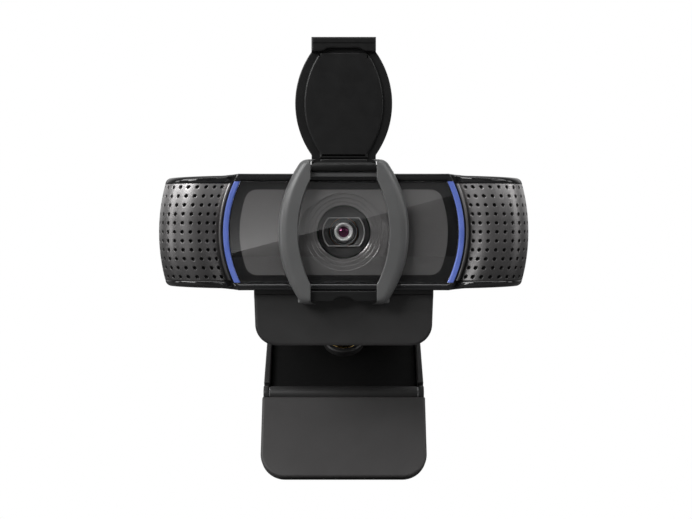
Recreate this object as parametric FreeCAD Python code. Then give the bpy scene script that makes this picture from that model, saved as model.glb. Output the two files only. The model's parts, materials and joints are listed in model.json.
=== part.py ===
"""Clip-on webcam with a flip-up privacy cover, as an assembly of separate sub-parts, in millimetres.

A wide camera head tilts on a saddle that sits on the top edge of a screen. The saddle has a short lip in
front of the screen and, behind it, a folding leg and foot that press on the screen's back. A frame with two
curved arms grips the head and carries the cover, which stands up when open and hangs over the lens when shut.

Row frame: +Z up, -Y is the way the camera looks, +X to its left-hand side as seen from the front right.
Its origin is the centre of the underside of the saddle's rubber pad, which rests on the screen.
Every shape is drawn from the lens axis (x = z = 0) and the window's front face (y = 0), and is moved to the
row frame as it is written. The leg and foot are drawn folded flat under the saddle, then swung open.
"""

import FreeCAD, Part
import math
import os

V = FreeCAD.Vector
X_AXIS, Y_AXIS, Z_AXIS = V(1, 0, 0), V(0, 1, 0), V(0, 0, 1)

# ---- Driving dimensions -------------------------------------------------------------------------------
# Where the drawing datum lies in the row frame
LENS_Z = 21.3               # lens axis above the pad's underside
FACE_Y = -33.0              # window's front face, in front of the pad's centre

# Camera head
HEAD_TOP = 14.6             # half height at the middle
WING_TOP = 14.15            # half height where a wing starts
TIP_TOP = 13.7              # half height near a wing's end
HEAD_DEPTH = 24.0           # window to the back of the housing
RIM_Y = 0.25                # the bezel's front, just behind the window's face
BLOCK_R = 30.3              # radius, about the lens axis, at which the middle block ends
WING_R = 9.6                # radius of a wing in plan
WING_MID = 37.6             # distance of a wing's plan centre from the lens axis
WING_Y = 9.4                # and its depth
WING_START = 31.2           # where the wing's curve starts
WALL = 1.6                  # moulded wall
PART_Y = 6.0                # parting line between bezel and housing
OPEN_Z = 12.75              # half height of the window's opening
GRILLE_Z = 12.2             # half height of a grille's opening
GRILLE_LEDGE = 0.7          # width of the ledge that a grille sits on, above and below
FIT = 0.1                   # gap between two moulded pieces that are fitted together

# Window, face plate and light guides
WINDOW_R = 28.8
WINDOW_T = 1.0
FACE_BACK = 2.85
WELL_R = 6.6                # the dark well round the lens
STEP_RADII = (9.65, 8.55, 7.55)   # the terraces that lead down to the well
STEP_DEPTH = 0.25
GUIDE_IN, GUIDE_OUT = 28.9, 30.2
WEB_FRONT, WEB_BACK = 2.9, 4.1

# Grilles
GRILLE_T = 0.7
CLOTH_T = 0.25
HOLE_R = 0.42
HOLE_PITCH_Z = 2.25
HOLE_ROWS = 11
HOLE_RADII = (32.55, 34.2, 36.15, 38.3, 40.45, 42.45, 44.25, 45.75, 46.75)
GRILLE_END = 97.0           # degrees round the wing, from straight ahead, at which the grille ends

# Lens and focus drive
BARREL_R = 3.5
BARREL_FRONT = 3.2
BARREL_BACK = 9.2
CARRIER_R = 4.0
DRIVE_HALF = 5.4            # half width of the square focus drive
DRIVE_FRONT, DRIVE_BACK = 5.6, 11.4
SENSOR_FRONT = 12.0
BOARD_FRONT, BOARD_BACK = 12.9, 14.1
FOCUS_TRAVEL = 0.35

# Screws, microphones and cable inlet
SCREW_X, SCREW_Z = 24.0, 8.4
MIC_X = 38.4
GROMMET_X, GROMMET_Z = -11.0, -5.0
GROMMET_SEAT, GROMMET_BACK = 22.9, 24.9
CABLE_HOLE_R = 2.05

# Tilt hinge between head and saddle
TILT_Y, TILT_Z = 7.0, -14.9
ROLL_R = 3.0                # the saddle's rounded top edge, about the tilt axis
CHANNEL_R = 3.3             # the head's channel over it
KNUCKLE_R = 1.9
KNUCKLE_HALF = 9.0
NECK_Y, NECK_T = 6.3, 2.0   # front of the bracket's neck, and its thickness
TILT_PIN_R = 1.0
RUNNING = 0.03              # radial clearance of a pin that turns

# Saddle
LIP_Y = 4.0
LIP_T = 2.6
LIP_BOTTOM = -28.7
LIP_HALF, LIP_HALF_LOW = 22.7, 22.2
LIP_CORNER = 5.4
PLATE_TOP, PLATE_UNDER = -17.7, -20.3
SADDLE_HALF_REAR = 21.7
PAD_T = 1.0
PAD_FRONT, PAD_REAR, PAD_HALF = 8.0, 58.0, 19.5
LEG_AXIS_Y, LEG_AXIS_Z = 67.5, -23.9
SADDLE_KNUCKLE_R = 3.3
LEG_KNUCKLE_R = 3.1
LEG_KNUCKLE_HALF = 14.2
LEG_PIN_R = 1.4

# Leg and foot, drawn folded
LEG_LENGTH = 32.8
LEG_OPEN = 39.0             # degrees that the leg is swung from folded
LEG_HALF_REAR, LEG_HALF_FRONT = 21.7, 22.1
LEG_INNER_HALF = 20.4
LEG_FLOOR_UNDER, LEG_FLOOR_TOP, LEG_FLANGE_TOP = -3.1, -1.4, 1.3     # from the hinge axis
FOOT_AXIS_Y = LEG_AXIS_Y - LEG_LENGTH
FOOT_LENGTH = 24.3
FOOT_OPEN = 24.5            # degrees that the foot is swung from the line of the leg
FOOT_HALF_TOP, FOOT_HALF_TIP = 22.3, 22.45
FOOT_CORNER = 6.6
FOOT_UNDER, FOOT_TOP, FOOT_PAD_TOP = -2.1, 0.3, 1.5                  # from the hinge axis
FOOT_BARREL_R = 1.9
FOOT_PIN_R = 0.9
EAR_R = 2.1
TRIPOD_Y = 56.0
TRIPOD_HOLE_R = 2.55        # minor radius of a 1/4 inch tripod thread
INSERT_R = 4.4

# Shutter frame and cover
ARM_FRONT, ARM_BACK = -3.0, -0.1
ARM_END_Z = 18.1
ARM_IN_END, ARM_IN_MID = 8.25, 11.45     # inner edge at the arm's ends and at its middle
ARM_OUT_END, ARM_OUT_MID = 10.7, 16.3
ARM_STRAIGHT_Z = 13.2       # above and below this the inner edge runs straight
ARM_ROUND = 2.1
HOOK_BACK = 2.4
FRAME_TOP_REAR = 9.0
SHELF_HALF = 11.2           # the frame's plate on top of the head stays behind the arms
HOOK_OUT, TOP_HOOK_OUT = 0.9, 0.1      # how far the lower and upper hooks stand out past an arm
COVER_Y, COVER_Z = -1.3, 16.3            # the cover's hinge axis
COVER_BARREL_R = 1.3
COVER_PIN_R = 0.5
COVER_HALF = 8.05
COVER_RIM_Y, COVER_BACK_Y, COVER_PANEL_Y, COVER_LIP_Y = 0.5, 1.4, -0.3, -1.2
COVER_LENGTH = 32.4
COVER_SWELL, COVER_SWELL_R, COVER_SWELL_AT = 12.15, 22.4, 15.9


# ---- Small shape helpers ------------------------------------------------------------------------------
def box(x0, x1, y0, y1, z0, z1):
    return Part.makeBox(x1 - x0, y1 - y0, z1 - z0, V(x0, y0, z0))


def rod_x(radius, x0, x1, y, z):
    """A cylinder along X."""
    return Part.makeCylinder(radius, x1 - x0, V(x0, y, z), X_AXIS)


def rod_y(radius, y0, y1, x=0.0, z=0.0):
    """A cylinder along Y."""
    return Part.makeCylinder(radius, y1 - y0, V(x, y0, z), Y_AXIS)


def rod_z(radius, z0, z1, x, y):
    """A cylinder along Z."""
    return Part.makeCylinder(radius, z1 - z0, V(x, y, z0), Z_AXIS)


def line(a, b):
    return Part.LineSegment(a, b).toShape()


def arc(a, b, c):
    return Part.Arc(a, b, c).toShape()


def face(edges):
    return Part.Face(Part.Wire(edges))


def polygon(points):
    return Part.Face(Part.makePolygon(list(points) + [points[0]]))


def fuse(*shapes):
    whole = shapes[0]
    if len(shapes) > 1:
        whole = whole.fuse(list(shapes[1:]))
    return whole.removeSplitter()


def group(shapes):
    """Separate solids that share one node."""
    return Part.makeCompound(shapes)


def mirrored(shape):
    return shape.mirror(V(0, 0, 0), X_AXIS)


def both_sides(shape):
    """The shape and its mirror image, left and right of the middle plane."""
    return [shape, mirrored(shape)]


def turned(shape, y, z, degrees):
    """The shape turned about the X-parallel axis through (y, z)."""
    moved = shape.copy()
    moved.rotate(V(0, y, z), X_AXIS, degrees)
    return moved


def rounded(shape, radius, chosen):
    """The shape with the edges that chosen(edge) accepts rounded, or as it was if that can't be done."""
    edges = [e for e in shape.Edges if chosen(e)]
    if not edges:
        return shape
    try:
        made = shape.makeFillet(radius, edges)
    except Exception:
        return shape
    return made if made.isValid() and made.Volume > 0 else shape


def arc_strip(r_in, r_out, y0, y1, half_z):
    """The right-hand stretch of a ring about the lens axis, between y0 and y1, no taller than half_z."""
    ring = rod_y(r_out, y0, y1).cut(rod_y(r_in, y0 - 1, y1 + 1))
    return ring.common(box(0, r_out + 1, y0 - 1, y1 + 1, -half_z, half_z))


# ---- The head's outer form ----------------------------------------------------------------------------
def wing_point(radius, degrees):
    """A point on a circle about the wing's plan centre, degrees round from straight ahead."""
    a = math.radians(degrees)
    return V(WING_MID + radius * math.sin(a), WING_Y - radius * math.cos(a), 0)


def plan_face(inset):
    """Half of the head's plan, from the lens axis out: a flat middle block, a step, a round wing and a back
    that is one long arc tangent to the wing. It is turned about the lens axis to make the form."""
    radius = WING_R - inset
    start = math.degrees(math.asin((WING_START - WING_MID) / radius))
    back_drop = HEAD_DEPTH - WING_R - WING_Y        # how far the back lies behind the wing's centre circle
    back_centre = WING_Y - (WING_MID ** 2 - back_drop ** 2) / (2 * back_drop)
    back_r = HEAD_DEPTH - back_centre
    lean = math.degrees(math.atan2(WING_MID, WING_Y - back_centre))
    tangent = wing_point(radius, 180 - lean)
    half = math.radians(lean / 2)
    mid = V((back_r - inset) * math.sin(half), back_centre + (back_r - inset) * math.cos(half), 0)
    front = V(0, RIM_Y + inset, 0)
    corner = V(BLOCK_R - inset, RIM_Y + inset, 0)
    first = wing_point(radius, start)
    foot = V(BLOCK_R + 0.3 - inset, max(first.y, RIM_Y + inset + 0.2), 0)
    back = V(0, HEAD_DEPTH - inset, 0)
    return face([
        line(front, corner),
        line(corner, foot),
        line(foot, first),
        arc(first, wing_point(radius, (start + 180 - lean) / 2), tangent),
        arc(tangent, mid, back),
        line(back, front),
    ])


def side_face(inset):
    """The head's side view: flat front, top and bottom, with a large round at the back above and below."""
    top, front, back = HEAD_TOP - inset, RIM_Y - 2.0, HEAD_DEPTH + 1.0
    upper_r, lower_r = 11.0 - inset, 8.0 - inset
    edge = HEAD_DEPTH - inset
    s = math.sqrt(0.5)
    return face([
        line(V(-60, front, -top), V(-60, front, top)),
        line(V(-60, front, top), V(-60, edge - upper_r, top)),
        arc(V(-60, edge - upper_r, top),
            V(-60, edge - upper_r * (1 - s), top - upper_r * (1 - s)),
            V(-60, edge, top - upper_r)),
        line(V(-60, edge, top - upper_r), V(-60, back, top - upper_r)),
        line(V(-60, back, top - upper_r), V(-60, back, lower_r - top)),
        line(V(-60, back, lower_r - top), V(-60, edge, lower_r - top)),
        arc(V(-60, edge, lower_r - top),
            V(-60, edge - lower_r * (1 - s), -top + lower_r * (1 - s)),
            V(-60, edge - lower_r, -top)),
        line(V(-60, edge - lower_r, -top), V(-60, front, -top)),
    ])


def front_face(inset):
    """The head's front view: full height at the middle, stepping down to the wings and easing to their tips."""
    outline = [(27.0, HEAD_TOP), (28.4, HEAD_TOP - 0.22), (30.4, WING_TOP), (44.0, TIP_TOP), (48.5, TIP_TOP - 0.35)]
    right = [V(x, -20, z - inset) for x, z in outline]
    left = [V(-p.x, p.y, p.z) for p in reversed(right)]
    upper = left + right
    lower = [V(p.x, p.y, -p.z) for p in reversed(upper)]
    return polygon(upper + lower)


def head_form(inset):
    """The head's outer form, or the same form with every wall moved in by inset."""
    turned_plan = plan_face(inset).revolve(V(0, 0, 0), Y_AXIS, 360)
    side = side_face(inset).extrude(V(120, 0, 0))
    front = front_face(inset).extrude(V(0, 60, 0))
    return turned_plan.common(side).common(front)


# ---- Head: shells -------------------------------------------------------------------------------------


def channel(radius, half):
    """The round channel under the head that the saddle's top edge turns in."""
    return rod_x(radius, -half, half, TILT_Y, TILT_Z)


def neck(grow):
    """The tilt bracket's neck, or with grow the slot that it passes through in the channel's wall."""
    return box(-5 - grow, 5 + grow, NECK_Y - grow, NECK_Y + NECK_T + grow, TILT_Z, -9.2 + grow)


def grille_openings(y0, y1):
    """Both wings' grille openings between two depths: a seat for the sheet, and a way through inside its ledge."""
    seat_r = WING_R - GRILLE_T - CLOTH_T - FIT
    core = Part.Face(Part.Wire(Part.Circle(V(WING_MID, WING_Y, 0), Z_AXIS, seat_r).toShape()))
    core.rotate(V(0, 0, 0), Y_AXIS, -30)
    seat = arc_strip(BLOCK_R + 0.75, 50, y0, y1, GRILLE_Z).cut(core.revolve(V(0, 0, 0), Y_AXIS, 60))
    through = arc_strip(BLOCK_R + 0.75 + GRILLE_LEDGE, 50, y0, y1, GRILLE_Z - GRILLE_LEDGE)
    return both_sides(seat) + both_sides(through)


def bezel():
    """The gloss front of the head: rails above and below, ribs beside the wings and a web behind the window."""
    outer = head_form(0)
    shell = outer.common(box(-50, 50, -2, PART_Y, -20, 20))
    room = head_form(WALL).common(box(-50, 50, WEB_BACK, PART_Y + 1, -20, 20))
    room = room.cut(arc_strip(BLOCK_R - 0.2, BLOCK_R + 0.9, 0, 10, 20))
    room = room.cut(mirrored(arc_strip(BLOCK_R - 0.2, BLOCK_R + 0.9, 0, 10, 20)))
    room = room.cut(rod_x(CHANNEL_R + 1.3, -24.4, 24.4, TILT_Y, TILT_Z))
    shell = shell.cut(room)
    well = rod_y(BLOCK_R - 0.02, -2, WEB_FRONT).common(box(-50, 50, -2, WEB_FRONT, -OPEN_Z, OPEN_Z))
    shell = shell.cut(well)
    for opening in grille_openings(-2, PART_Y + 1):
        shell = shell.cut(opening)
    for slot in both_sides(arc_strip(GUIDE_IN - 0.05, GUIDE_OUT + 0.05, 2, 5, 2.7)):
        shell = shell.cut(slot)
    shell = shell.cut(rod_y(WELL_R, 0, 6))
    for x in (-SCREW_X, SCREW_X):
        for z in (-SCREW_Z, SCREW_Z):
            shell = shell.cut(rod_y(1.1, 2, 6, x, z))
    return shell.cut(channel(CHANNEL_R, 23.1))


def housing():
    """The back shell, with screw posts, microphone posts, board posts and the cable hole."""
    shell = head_form(0).common(box(-50, 50, PART_Y, 30, -20, 20))
    room = head_form(WALL).common(box(-50, 50, PART_Y - 1, 30, -20, 20))
    room = room.cut(rod_x(CHANNEL_R + 1.3, -24.4, 24.4, TILT_Y, TILT_Z))
    posts = [rod_y(2.3, PART_Y, 24, x, z) for x in (-SCREW_X, SCREW_X) for z in (-SCREW_Z, SCREW_Z)]
    posts += [rod_y(2.6, 9.5, 24, x, 0) for x in (-MIC_X, MIC_X)]
    posts += [rod_y(1.7, 17.0, 24, x, z) for x in (-18, 18) for z in (-8, 8)]
    for post in posts:
        room = room.cut(post)
    shell = shell.cut(room)
    posts_room = rod_y(WING_MID + WING_R - 2.7, 0, 30)
    for opening in grille_openings(PART_Y - 1, wing_point(WING_R, GRILLE_END).y + FIT):
        shell = shell.cut(opening.cut(posts_room))
    for x in (-SCREW_X, SCREW_X):
        for z in (-SCREW_Z, SCREW_Z):
            shell = shell.cut(rod_y(0.8, PART_Y - 1, 14, x, z))
    shell = shell.cut(rod_y(3.0, 15, 30, GROMMET_X, GROMMET_Z))
    shell = shell.cut(rod_y(3.95, GROMMET_SEAT, 30, GROMMET_X, GROMMET_Z))
    shell = shell.cut(neck(0.2))
    return shell.cut(channel(CHANNEL_R, 23.1))


def window():
    """The clear front pane, round-sided to match the light guides."""
    pane = rod_y(WINDOW_R, 0, WINDOW_T).common(box(-40, 40, -1, 3, -OPEN_Z + FIT, OPEN_Z - FIT))
    return rounded(pane, 0.2, lambda e: all(abs(v.Y) < 1e-6 for v in e.Vertexes))


def face_plate():
    """The plate behind the window, with terraces that lead down to the well round the lens."""
    front = WINDOW_T + 0.05
    plate = rod_y(WINDOW_R, front, FACE_BACK)
    plate = plate.common(box(-40, 40, 0, 4, -OPEN_Z + FIT, OPEN_Z - FIT))
    for n, radius in enumerate(STEP_RADII):
        plate = plate.cut(rod_y(radius, 0, front + STEP_DEPTH * (n + 1)))
    return plate.cut(rod_y(WELL_R, 0, 4))


def light_guide():
    """A curved light guide beside the window, with a stem that reaches back to its lamp."""
    strip = arc_strip(GUIDE_IN, GUIDE_OUT, 0.15, FACE_BACK, OPEN_Z - FIT)
    strip = rounded(strip, 0.3, lambda e: all(abs(v.Y - 0.15) < 1e-6 for v in e.Vertexes))
    stem = arc_strip(GUIDE_IN + 0.1, GUIDE_OUT - 0.1, FACE_BACK, WEB_BACK, 2.5)
    return fuse(strip, stem)


def wing_sheet(r_out, r_in, start_deg, end_deg):
    """A sheet between two radii about the wing's plan centre, turned about the lens axis."""
    mid = (start_deg + end_deg) / 2
    section = face([
        arc(wing_point(r_out, start_deg), wing_point(r_out, mid), wing_point(r_out, end_deg)),
        line(wing_point(r_out, end_deg), wing_point(r_in, end_deg)),
        arc(wing_point(r_in, end_deg), wing_point(r_in, mid), wing_point(r_in, start_deg)),
        line(wing_point(r_in, start_deg), wing_point(r_out, start_deg)),
    ])
    section.rotate(V(0, 0, 0), Y_AXIS, -30)
    return section.revolve(V(0, 0, 0), Y_AXIS, 60)


def grille():
    """The perforated microphone grille of the right wing, with a rolled inner edge and rows of small holes."""
    start = math.degrees(math.asin((WING_START - WING_MID) / WING_R))
    sheet = wing_sheet(WING_R, WING_R - GRILLE_T, start, GRILLE_END)
    bead_mid = wing_point(WING_R - 0.45, start)
    bead = Part.Face(Part.Wire(Part.Circle(bead_mid, Z_AXIS, 0.45).toShape()))
    bead.rotate(V(0, 0, 0), Y_AXIS, -30)
    sheet = sheet.fuse(bead.revolve(V(0, 0, 0), Y_AXIS, 60))
    sheet = sheet.common(box(0, 60, -5, 30, FIT - GRILLE_Z, GRILLE_Z - FIT))
    drills = []
    for row in range(HOLE_ROWS):
        z = HOLE_PITCH_Z * (row - (HOLE_ROWS - 1) / 2)
        for radius in HOLE_RADII:
            out = math.asin(max(-1.0, min(1.0, (radius - WING_MID) / WING_R)))
            spin = math.asin(z / radius)
            radial = V(math.cos(spin), 0, math.sin(spin))
            normal = radial * math.sin(out) + V(0, -math.cos(out), 0)
            on_surface = radial * radius + V(0, WING_Y - WING_R * math.cos(out), 0)
            drills.append(Part.makeCylinder(HOLE_R, 3.0, on_surface - normal * 1.8, normal))
    return sheet.cut(drills)


def grille_cloth():
    """The acoustic cloth bonded behind the grille."""
    radius = WING_R - GRILLE_T
    start = math.degrees(math.asin((WING_START + 1.1 - WING_MID) / radius))
    sheet = wing_sheet(radius, radius - CLOTH_T, start, GRILLE_END - 3)
    return sheet.common(box(0, 60, -5, 30, 0.3 - GRILLE_Z, GRILLE_Z - 0.3))


# ---- Head: lens, board and the rest of the inside -----------------------------------------------------
def lens_barrel():
    """The moving barrel: a stepped, conical front round the glass and a threaded-look body behind."""
    outline = [
        (1.35, BARREL_FRONT + 1.1), (2.05, BARREL_FRONT), (2.45, BARREL_FRONT), (2.75, BARREL_FRONT + 0.35),
        (2.85, BARREL_FRONT + 0.8), (3.0, BARREL_FRONT + 0.8), (3.1, BARREL_FRONT + 0.45),
        (BARREL_R, BARREL_FRONT + 0.45), (BARREL_R, BARREL_FRONT + 1.6), (3.2, BARREL_FRONT + 2.0),
        (3.2, BARREL_BACK), (1.9, BARREL_BACK), (1.9, BARREL_BACK - 1.0), (1.35, BARREL_BACK - 1.6),
    ]
    return polygon([V(r, y, 0) for r, y in outline]).revolve(V(0, 0, 0), Y_AXIS, 360)


def lens_element(y_front, y_back, radius, bulge):
    """One round glass element with a domed front."""
    section = face([
        line(V(0, y_back, 0), V(0, y_front - bulge, 0)),
        arc(V(0, y_front - bulge, 0), V(radius * 0.6, y_front - bulge * 0.64, 0), V(radius, y_front, 0)),
        line(V(radius, y_front, 0), V(radius, y_back, 0)),
        line(V(radius, y_back, 0), V(0, y_back, 0)),
    ])
    return section.revolve(V(0, 0, 0), Y_AXIS, 360)


def focus_coil():
    """The coil wound round the barrel's tail."""
    ring = rod_y(CARRIER_R, 6.6, 8.8).cut(rod_y(3.2, 6, 10))
    return ring


def focus_drive():
    """The fixed, square body that the barrel moves in."""
    body = box(-DRIVE_HALF, DRIVE_HALF, DRIVE_FRONT, DRIVE_BACK, -DRIVE_HALF, DRIVE_HALF)
    body = body.cut(rod_y(CARRIER_R + 0.25, DRIVE_FRONT + 0.6, 10.2))
    body = body.cut(rod_y(3.6, DRIVE_FRONT - 1, DRIVE_FRONT + 1))
    for side in both_sides(box(4.3, 4.9, 6.4, 9.4, -2.2, 2.2)):
        body = body.cut(side)
    return body.cut(box(-3.0, 3.0, 10, 12, -2.6, 2.6))


def lens_mask():
    """The thin escutcheon in the well: a disc with its top and bottom cut flat, open round the lens."""
    outer = rod_y(5.4, 3.0, 5.0).common(box(-6, 6, 2, 6, -3.7, 3.7))
    inner = rod_y(5.05, 2.5, 4.4).common(box(-6, 6, 2, 6, -3.4, 3.4))
    return outer.cut(inner).cut(rod_y(3.75, 2, 6))


def tripod_insert():
    """The brass tripod insert, knurled in reality, with a bore at the thread's minor radius."""
    z0 = LEG_AXIS_Z + LEG_FLOOR_UNDER
    body = rod_z(INSERT_R, z0, LEG_AXIS_Z + LEG_FLANGE_TOP - 0.1, 0, TRIPOD_Y)
    return body.cut(rod_z(TRIPOD_HOLE_R, z0 - 1, LEG_AXIS_Z + 5, 0, TRIPOD_Y))


def main_board():
    """The main circuit board, cut away round the screw posts."""
    board = box(-21, 21, BOARD_FRONT, BOARD_BACK, -10, 10.5)
    for x in (-18, 18):
        for z in (-8, 8):
            board = board.cut(rod_y(0.9, 12, 15, x, z))
    return board


def chips():
    """Packages on the board, front and back."""
    front = [box(9, 16, BOARD_FRONT - 1.0, BOARD_FRONT, -4, 3), box(-15.5, -9.5, BOARD_FRONT - 0.8, BOARD_FRONT, 1, 7)]
    passive = [box(x, x + 1.6, BOARD_FRONT - 0.7, BOARD_FRONT, 8, 8.9) for x in (-12, -8, -4, 3, 7, 11)]
    return group(front + passive)


def heat_sink():
    """A ribbed aluminium plate behind the board."""
    plate = box(-15, 15, 15.0, 16.2, -7, 7)
    ribs = [box(x - 0.4, x + 0.4, 16.2, 18.6, -6, 6) for x in range(-13, 14, 4) if abs(x - GROMMET_X) > 4]
    return fuse(plate, *ribs)


def screw_y(x, z, head_y, length, shank_r, head_r, head_h=0.9):
    """A pan-head screw along +Y with its head's underside at head_y and a cross recess."""
    head = rod_y(head_r, head_y - head_h, head_y, x, z)
    cross = [box(x - 0.15, x + 0.15, head_y - head_h - 1, head_y - head_h / 2, z - head_r * 0.6, z + head_r * 0.6),
             box(x - head_r * 0.6, x + head_r * 0.6, head_y - head_h - 1, head_y - head_h / 2, z - 0.15, z + 0.15)]
    return fuse(head, rod_y(shank_r, head_y, head_y + length, x, z)).cut(cross)


def housing_screws():
    return group([screw_y(x, z, WEB_BACK + 0.9, 8.0, 0.78, 1.05, 0.9)
                  for x in (-SCREW_X, SCREW_X) for z in (-SCREW_Z, SCREW_Z)])


def board_screws():
    return group([screw_y(x, z, BOARD_FRONT, 3.8, 0.75, 1.4) for x in (-18, 18) for z in (-8, 8)])


def spacers():
    """Tubes that hold the board off its posts."""
    return group([rod_y(1.7, BOARD_BACK, 16.9, x, z).cut(rod_y(0.8, 10, 20, x, z)) for x in (-18, 18) for z in (-8, 8)])


def lamp_board():
    return box(24.2, 29.2, 4.9, 5.7, -5.5, 5.5)


def lamp():
    return box(28.0, 29.1, 4.15, 4.9, -0.9, 0.9)


def microphone():
    return rod_y(2.0, 5.0, 6.6, MIC_X, 0)


def microphone_boot():
    """A rubber cup that holds the microphone on its post."""
    return rod_y(2.9, 4.6, 9.5, MIC_X, 0).cut(rod_y(2.0, 3, 6.6, MIC_X, 0))


def flex_lead():
    """A flat lead from the board's edge to the lamp board and the microphone."""
    run = box(21.1, 27.5, 13.0, 13.25, -1.5, 1.5)
    rise = box(27.25, 27.5, 5.7, 13.25, -1.5, 1.5)
    return fuse(run, rise)


def cable_socket():
    """The small plug housing on the board that the cable's wires end in."""
    body = box(-16, -6, BOARD_BACK, BOARD_BACK + 0.8, -9.5, -7.4)
    return body.fuse(box(-15, -7, BOARD_BACK + 0.8, 17.0, -9.4, -7.5)).removeSplitter()


def cable_grommet():
    """The rubber inlet bush in the back of the head, open for the cable."""
    x, z = GROMMET_X, GROMMET_Z
    body = fuse(rod_y(3.6, 20.4, 21.3, x, z), rod_y(2.95, 20.4, GROMMET_BACK, x, z),
                rod_y(3.85, GROMMET_SEAT, GROMMET_BACK, x, z))
    body = rounded(body, 0.45, lambda e: all(abs(v.Y - GROMMET_BACK) < 1e-6 for v in e.Vertexes))
    return body.cut(rod_y(CABLE_HOLE_R, 20, 27, x, z))


def tilt_bracket():
    """The head's half of the tilt hinge: a knuckle on a short neck, and a foot screwed inside the head."""
    knuckle = rod_x(KNUCKLE_R, -KNUCKLE_HALF, KNUCKLE_HALF, TILT_Y, TILT_Z)
    foot = box(-8.5, 8.5, NECK_Y, NECK_Y + 5.2, -10.1, -9.1)
    bracket = fuse(knuckle, neck(0), foot)
    for x in (-7, 7):
        bracket = bracket.cut(rod_z(0.85, -12, -8, x, TILT_Y + 2.6))
    return bracket.cut(rod_x(TILT_PIN_R + RUNNING, -20, 20, TILT_Y, TILT_Z))


# ---- Saddle -------------------------------------------------------------------------------------------
def lip_plate():
    """The lip: a plate that hangs in front of the screen, slightly narrower below, with round lower corners."""
    low, r = LIP_BOTTOM, LIP_CORNER
    s = math.sqrt(0.5)
    half, tip = LIP_HALF, LIP_HALF_LOW

    def at(x, z):
        return V(x, LIP_Y, z)

    top = TILT_Z
    outline = face([
        line(at(-half, top), at(half, top)),
        line(at(half, top), at(tip, low + r)),
        arc(at(tip, low + r), at(tip - r * (1 - s), low + r * (1 - s)), at(tip - r, low)),
        line(at(tip - r, low), at(r - tip, low)),
        arc(at(r - tip, low), at(r * (1 - s) - tip, low + r * (1 - s)), at(-tip, low + r)),
        line(at(-tip, low + r), at(-half, top)),
    ])
    plate = outline.extrude(V(0, LIP_T, 0))
    return rounded(plate, 0.6, lambda e: min(v.Z for v in e.Vertexes) < top - 1
                   and all(abs(v.Y - LIP_Y) < 1e-6 for v in e.Vertexes))


def saddle_plate():
    """The flat top of the saddle, with round rear corners."""
    front, back, r = LIP_Y + 1.0, LEG_AXIS_Y + 2.0, 5.0
    s = math.sqrt(0.5)
    half, rear = LIP_HALF - 0.4, SADDLE_HALF_REAR

    def at(x, y):
        return V(x, y, PLATE_UNDER)

    outline = face([
        line(at(-half, front), at(half, front)),
        line(at(half, front), at(rear, back - r)),
        arc(at(rear, back - r), at(rear - r * (1 - s), back - r * (1 - s)), at(rear - r, back)),
        line(at(rear - r, back), at(r - rear, back)),
        arc(at(r - rear, back), at(r * (1 - s) - rear, back - r * (1 - s)), at(-rear, back - r)),
        line(at(-rear, back - r), at(-half, front)),
    ])
    plate = outline.extrude(V(0, 0, PLATE_TOP - PLATE_UNDER))
    return rounded(plate, 0.8, lambda e: all(abs(v.Z - PLATE_TOP) < 1e-6 and v.Y > front + 0.5 for v in e.Vertexes))


def saddle():
    """Saddle: lip, rounded top edge, flat top and the outer knuckles of the leg's hinge, as one moulding."""
    plate = saddle_plate().cut(box(-30, 30, 0, LIP_Y + LIP_T - 0.5, -40, 0))
    roll = [rod_x(ROLL_R, KNUCKLE_HALF + 0.2, LIP_HALF, TILT_Y, TILT_Z)]
    roll.append(mirrored(roll[0]))
    body = fuse(lip_plate(), plate, *roll, box(-LIP_HALF + 0.4, LIP_HALF - 0.4, 5.5, 9.0, PLATE_UNDER, -16.4))
    knuckle_x = LEG_KNUCKLE_HALF + 0.25
    for side in both_sides(rod_x(SADDLE_KNUCKLE_R, knuckle_x, SADDLE_HALF_REAR, LEG_AXIS_Y, LEG_AXIS_Z)):
        body = body.fuse(side)
    for side in both_sides(box(knuckle_x, SADDLE_HALF_REAR - 0.3, LEG_AXIS_Y - 2.4, LEG_AXIS_Y + 1.9,
                               LEG_AXIS_Z, PLATE_UNDER + 0.5)):
        body = body.fuse(side)
    body = body.removeSplitter()
    # room for the head's knuckle and neck, behind the lip's skin
    skin_top = -15.6
    body = body.cut(box(-KNUCKLE_HALF - 0.2, KNUCKLE_HALF + 0.2, 0, 12, skin_top, 0))
    body = body.cut(rod_x(KNUCKLE_R + 0.2, -KNUCKLE_HALF - 0.2, KNUCKLE_HALF + 0.2, TILT_Y, TILT_Z))
    # room for the leg's middle knuckle
    body = body.cut(rod_x(LEG_KNUCKLE_R + 0.35, -knuckle_x, knuckle_x, LEG_AXIS_Y, LEG_AXIS_Z))
    # pin holes
    body = body.cut(rod_x(TILT_PIN_R, -20.5, 20.5, TILT_Y, TILT_Z))
    body = body.cut(rod_x(LEG_PIN_R, -20.0, 20.0, LEG_AXIS_Y, LEG_AXIS_Z))
    # shallow seats for the rubber pads
    return body.cut(box(-PAD_HALF - FIT, PAD_HALF + FIT, PAD_FRONT - FIT, PAD_REAR + FIT, PLATE_UNDER - 1, PLATE_UNDER + 0.4))


def saddle_pad():
    """The ribbed rubber pad under the saddle's top."""
    pad = box(-PAD_HALF, PAD_HALF, PAD_FRONT, PAD_REAR, PLATE_UNDER - PAD_T, PLATE_UNDER + 0.4)
    return rounded(pad, 1.5, lambda e: abs(e.Vertexes[0].Z - e.Vertexes[-1].Z) > 1)


def lip_pad():
    """The rubber pad on the lip's inner face."""
    y0 = LIP_Y + LIP_T
    pad = box(-PAD_HALF, PAD_HALF, y0, y0 + PAD_T, LIP_BOTTOM + 1.6, PLATE_UNDER - PAD_T - 0.2)
    return rounded(pad, 2.0, lambda e: abs(e.Vertexes[0].Y - e.Vertexes[-1].Y) > 0.5)


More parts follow.
